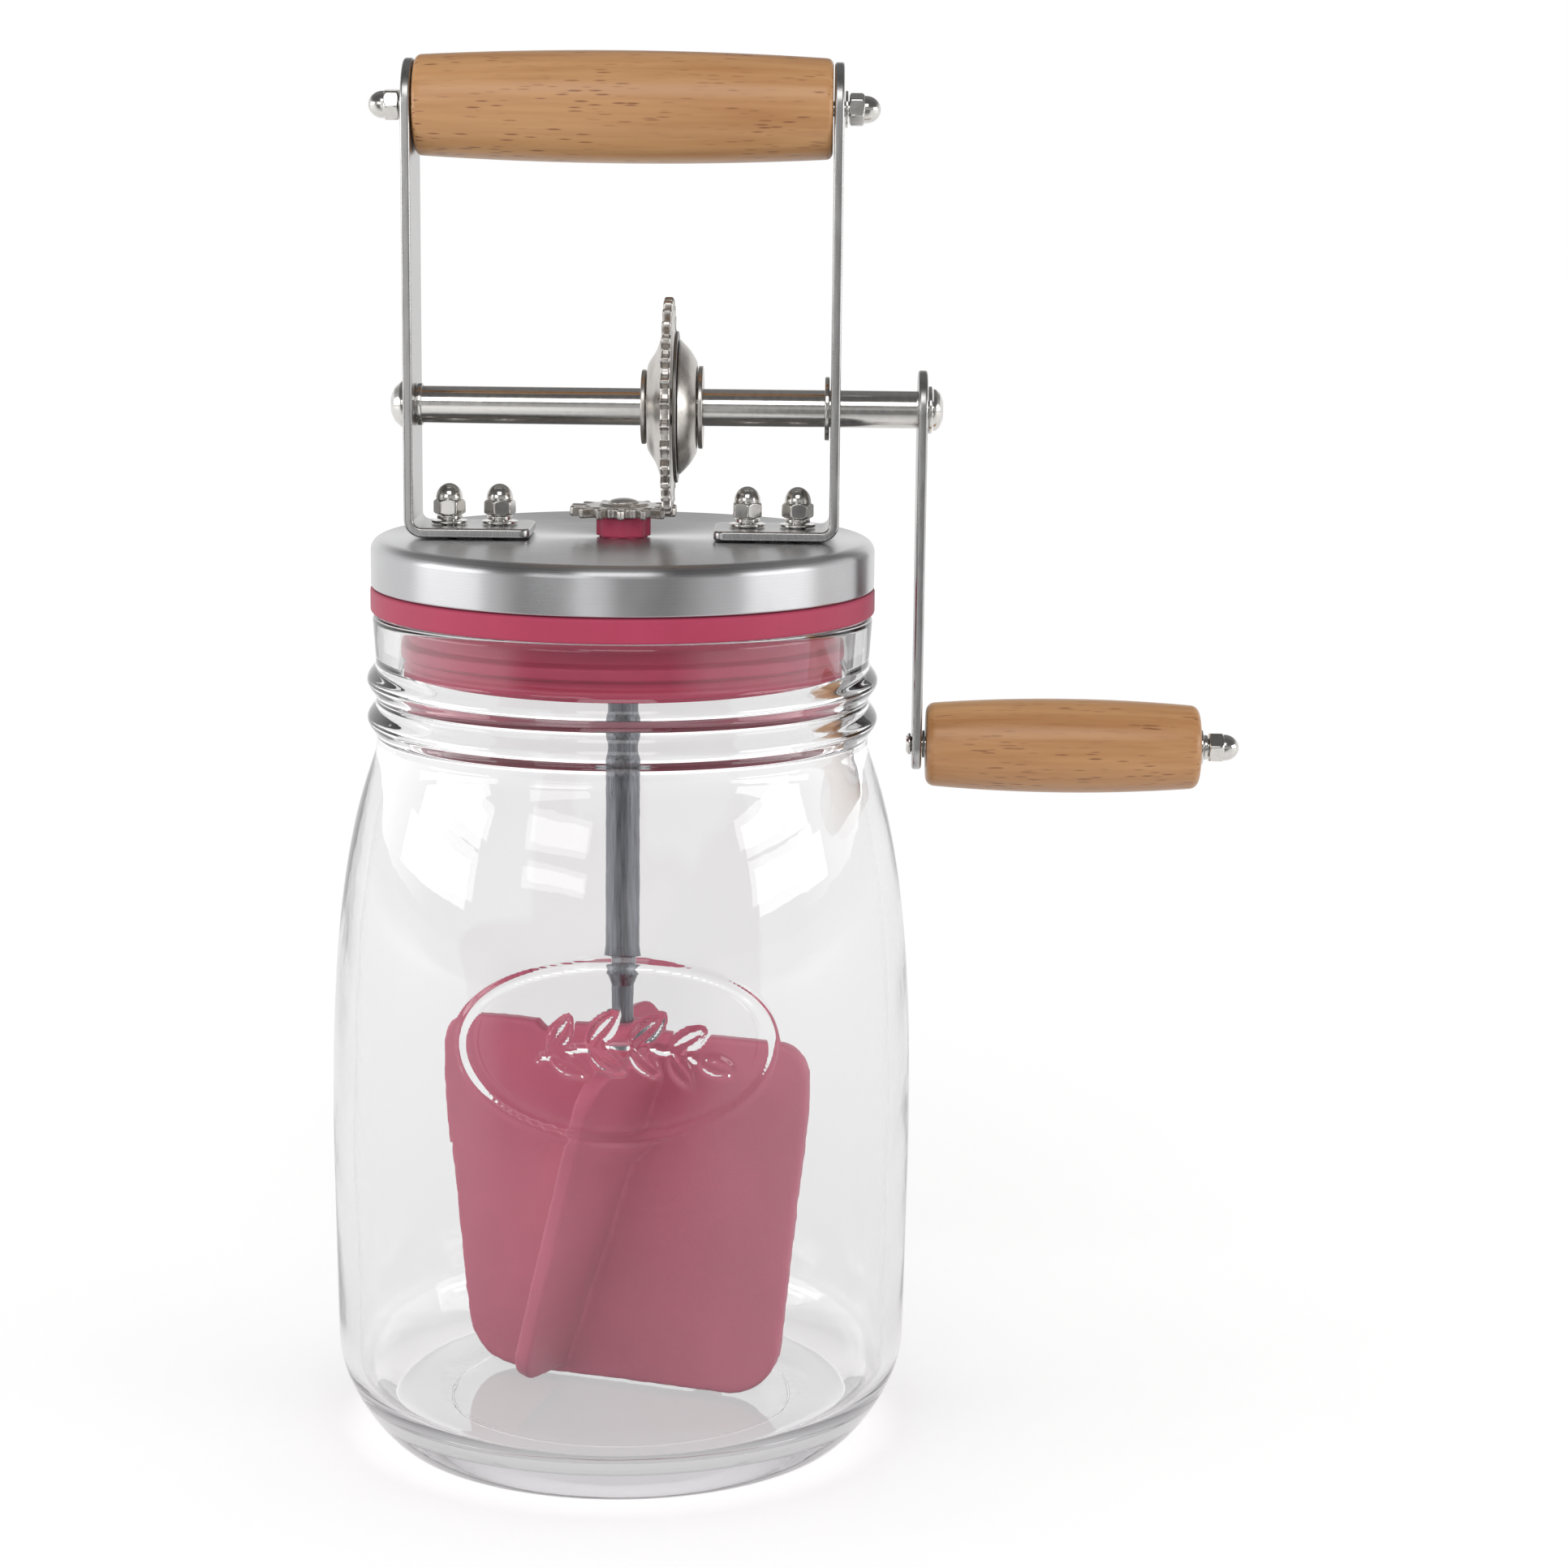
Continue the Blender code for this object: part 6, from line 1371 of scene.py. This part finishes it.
def make_floor():
    """A white floor; mirrored in metal or glass, its front part is dark, as in a dim room.

    The dark part fades out to both sides, and metal, but not glass, shows a bright gap in it.
    """
    paint = Paint("floor_white")
    cloud = paint.noise(paint.place, 3.0, 2.0)
    path = paint.node("ShaderNodeLightPath").outputs
    mirrored = paint.math("MAXIMUM", path["Is Glossy Ray"], path["Is Transmission Ray"])
    mirrored = paint.times(mirrored, paint.math("LESS_THAN", path["Diffuse Depth"], 0.5))
    seen = paint.math("MAXIMUM", path["Is Camera Ray"], mirrored)
    x, y = paint.parts(paint.place)[:2]
    slope = paint.math("DIVIDE", x, paint.math("MAXIMUM", paint.times(y, -1.0), 0.01))
    from_middle = paint.math("ABSOLUTE", paint.add(slope, DARK_MIDDLE_SLOPE))
    from_gap = paint.math("ABSOLUTE", paint.add(slope, DARK_GAP_SLOPE))
    front = paint.times(paint.span(y, -0.45, -0.08, 1.0, 0.0), paint.span(from_middle, 0.65, 1.15, 1.0, 0.25))
    gap = paint.math("MAXIMUM", paint.span(from_gap, 0.09, 0.20), path["Is Singular Ray"])
    front = paint.times(mirrored, paint.times(front, gap))
    distance = paint.length(paint.place)
    glow = paint.math("SUBTRACT", paint.span(distance, 0.15, 1.3, 0.36, 0.52), paint.times(mirrored, 0.10))
    # Painted light: the floor glows brighter right under the jar, a painted pool of the light the glass would
    # gather there
    painted_glow_under_jar = paint.span(distance, JAR_FOOT_RADIUS, JAR_BODY_RADIUS, 0.24, 0.0)
    glow = paint.add(paint.times(glow, paint.rest(front)), painted_glow_under_jar)
    white = paint.mix(cloud, (0.80, 0.80, 0.80), (0.82, 0.82, 0.82))
    paint.set(Base_Color=paint.mix(front, white, (0.22, 0.22, 0.22)), Roughness=0.9, Specular_IOR_Level=0.0,
              Emission_Color=(1.0, 1.0, 1.0, 1.0), Emission_Strength=paint.times(seen, glow))
    shape = bmesh.new()
    corners = ((-1, -1), (1, -1), (1, 1), (-1, 1))
    shape.faces.new([shape.verts.new((x * FLOOR_REACH, y * FLOOR_REACH, 0)) for x, y in corners])
    mesh = mesh_of("floor", shape)
    mesh.materials.append(paint.material)
    new_object("floor", mesh)


def make_world():
    """White to the camera; metal and glass see a bright backdrop and a dimmer front."""
    world = bpy.data.worlds.new("studio")
    bpy.context.scene.world = world
    world.use_nodes = True
    world.cycles.sampling_method = "NONE"
    sky = Nodes(world.node_tree)
    soft = "SMOOTHSTEP"
    toward_back, high = sky.parts(sky.node("ShaderNodeTexCoord").outputs["Generated"])[1:]
    back_share = sky.span(toward_back, -0.15, 0.35, kind=soft)
    backdrop = sky.span(high, 0.16, 0.56, 0.95, 0.20, soft)
    front = sky.span(high, 0.10, 0.50, 0.46, 0.13, soft)
    studio = sky.add(sky.times(backdrop, back_share), sky.times(front, sky.rest(back_share)))
    path = sky.node("ShaderNodeLightPath").outputs
    through = path["Is Transmission Ray"]
    clear = sky.times(through, sky.span(toward_back, -0.2, 0.15, 0.16, 0.92, soft))
    sight = sky.add(path["Is Camera Ray"], sky.add(clear, sky.times(path["Is Glossy Ray"], studio)))
    ambient = sky.math("SUBTRACT", 0.62, sky.times(through, 0.16))
    first = sky.math("LESS_THAN", path["Diffuse Depth"], 0.5)
    level = sky.add(sky.times(first, sight), sky.times(sky.rest(first), ambient))
    background = sky.tree.nodes["Background"]
    background.inputs["Color"].default_value = (1.0, 1.0, 1.0, 1.0)
    sky.feed(background.inputs["Strength"], level)


def make_camera():
    data = bpy.data.cameras.new("photo_camera")
    data.sensor_width = SENSOR_WIDTH
    data.lens = FOCAL_PIXELS * SENSOR_WIDTH / FRAME_PIXELS
    data.clip_start, data.clip_end = CAMERA_REACH
    camera = new_object("photo_camera", data)
    level_forward = Vector((sin(CAMERA_PAN), cos(CAMERA_PAN), 0))
    forward = level_forward * cos(CAMERA_TILT) - Vector((0, 0, sin(CAMERA_TILT)))
    level_right = Vector((cos(CAMERA_PAN), -sin(CAMERA_PAN), 0))
    level_up = level_right.cross(forward)
    right = level_right * cos(CAMERA_ROLL) + level_up * sin(CAMERA_ROLL)
    up = level_up * cos(CAMERA_ROLL) - level_right * sin(CAMERA_ROLL)
    turn = Matrix((right, up, -forward)).transposed().to_4x4()
    camera.matrix_world = Matrix.Translation(CAMERA_PLACE) @ turn
    bpy.context.scene.camera = camera


def make_studio():
    """World, floor and lamps. A lamp: name, azimuth, elevation, width, height, radiance."""
    make_world()
    make_floor()
    for lamp in (("left_softbox_high", -78, 17, 0.95, 0.19, 3.8),
                 ("left_softbox_low", -82, 7, 1.05, 0.20, 3.8),
                 ("right_softbox_high", 74, 17, 0.90, 0.19, 3.8),
                 ("right_softbox_low", 78, 7, 1.00, 0.20, 3.8),
                 ("front_softbox", 0, 41, 0.80, 0.56, 2.6),
                 ("front_window", -26, 20.3, 0.70, 0.19, 2.4),
                 ("front_window_low", -26, 11, 0.70, 0.10, 2.4)):
        softbox(*lamp)
    bpy.context.scene.view_settings.view_transform = "Standard"


LOOKS = make_looks()
make_studio()
make_camera()
for show_piece in (show_jar, show_cap, show_seal, show_bush, show_brackets, show_foot_fasteners,
                   show_handle, show_shaft, show_shaft_fittings, show_drive_gear, show_gear_stack,
                   show_pinion, show_spindle, show_paddle, show_crank_arm, show_grip):
    show_piece()
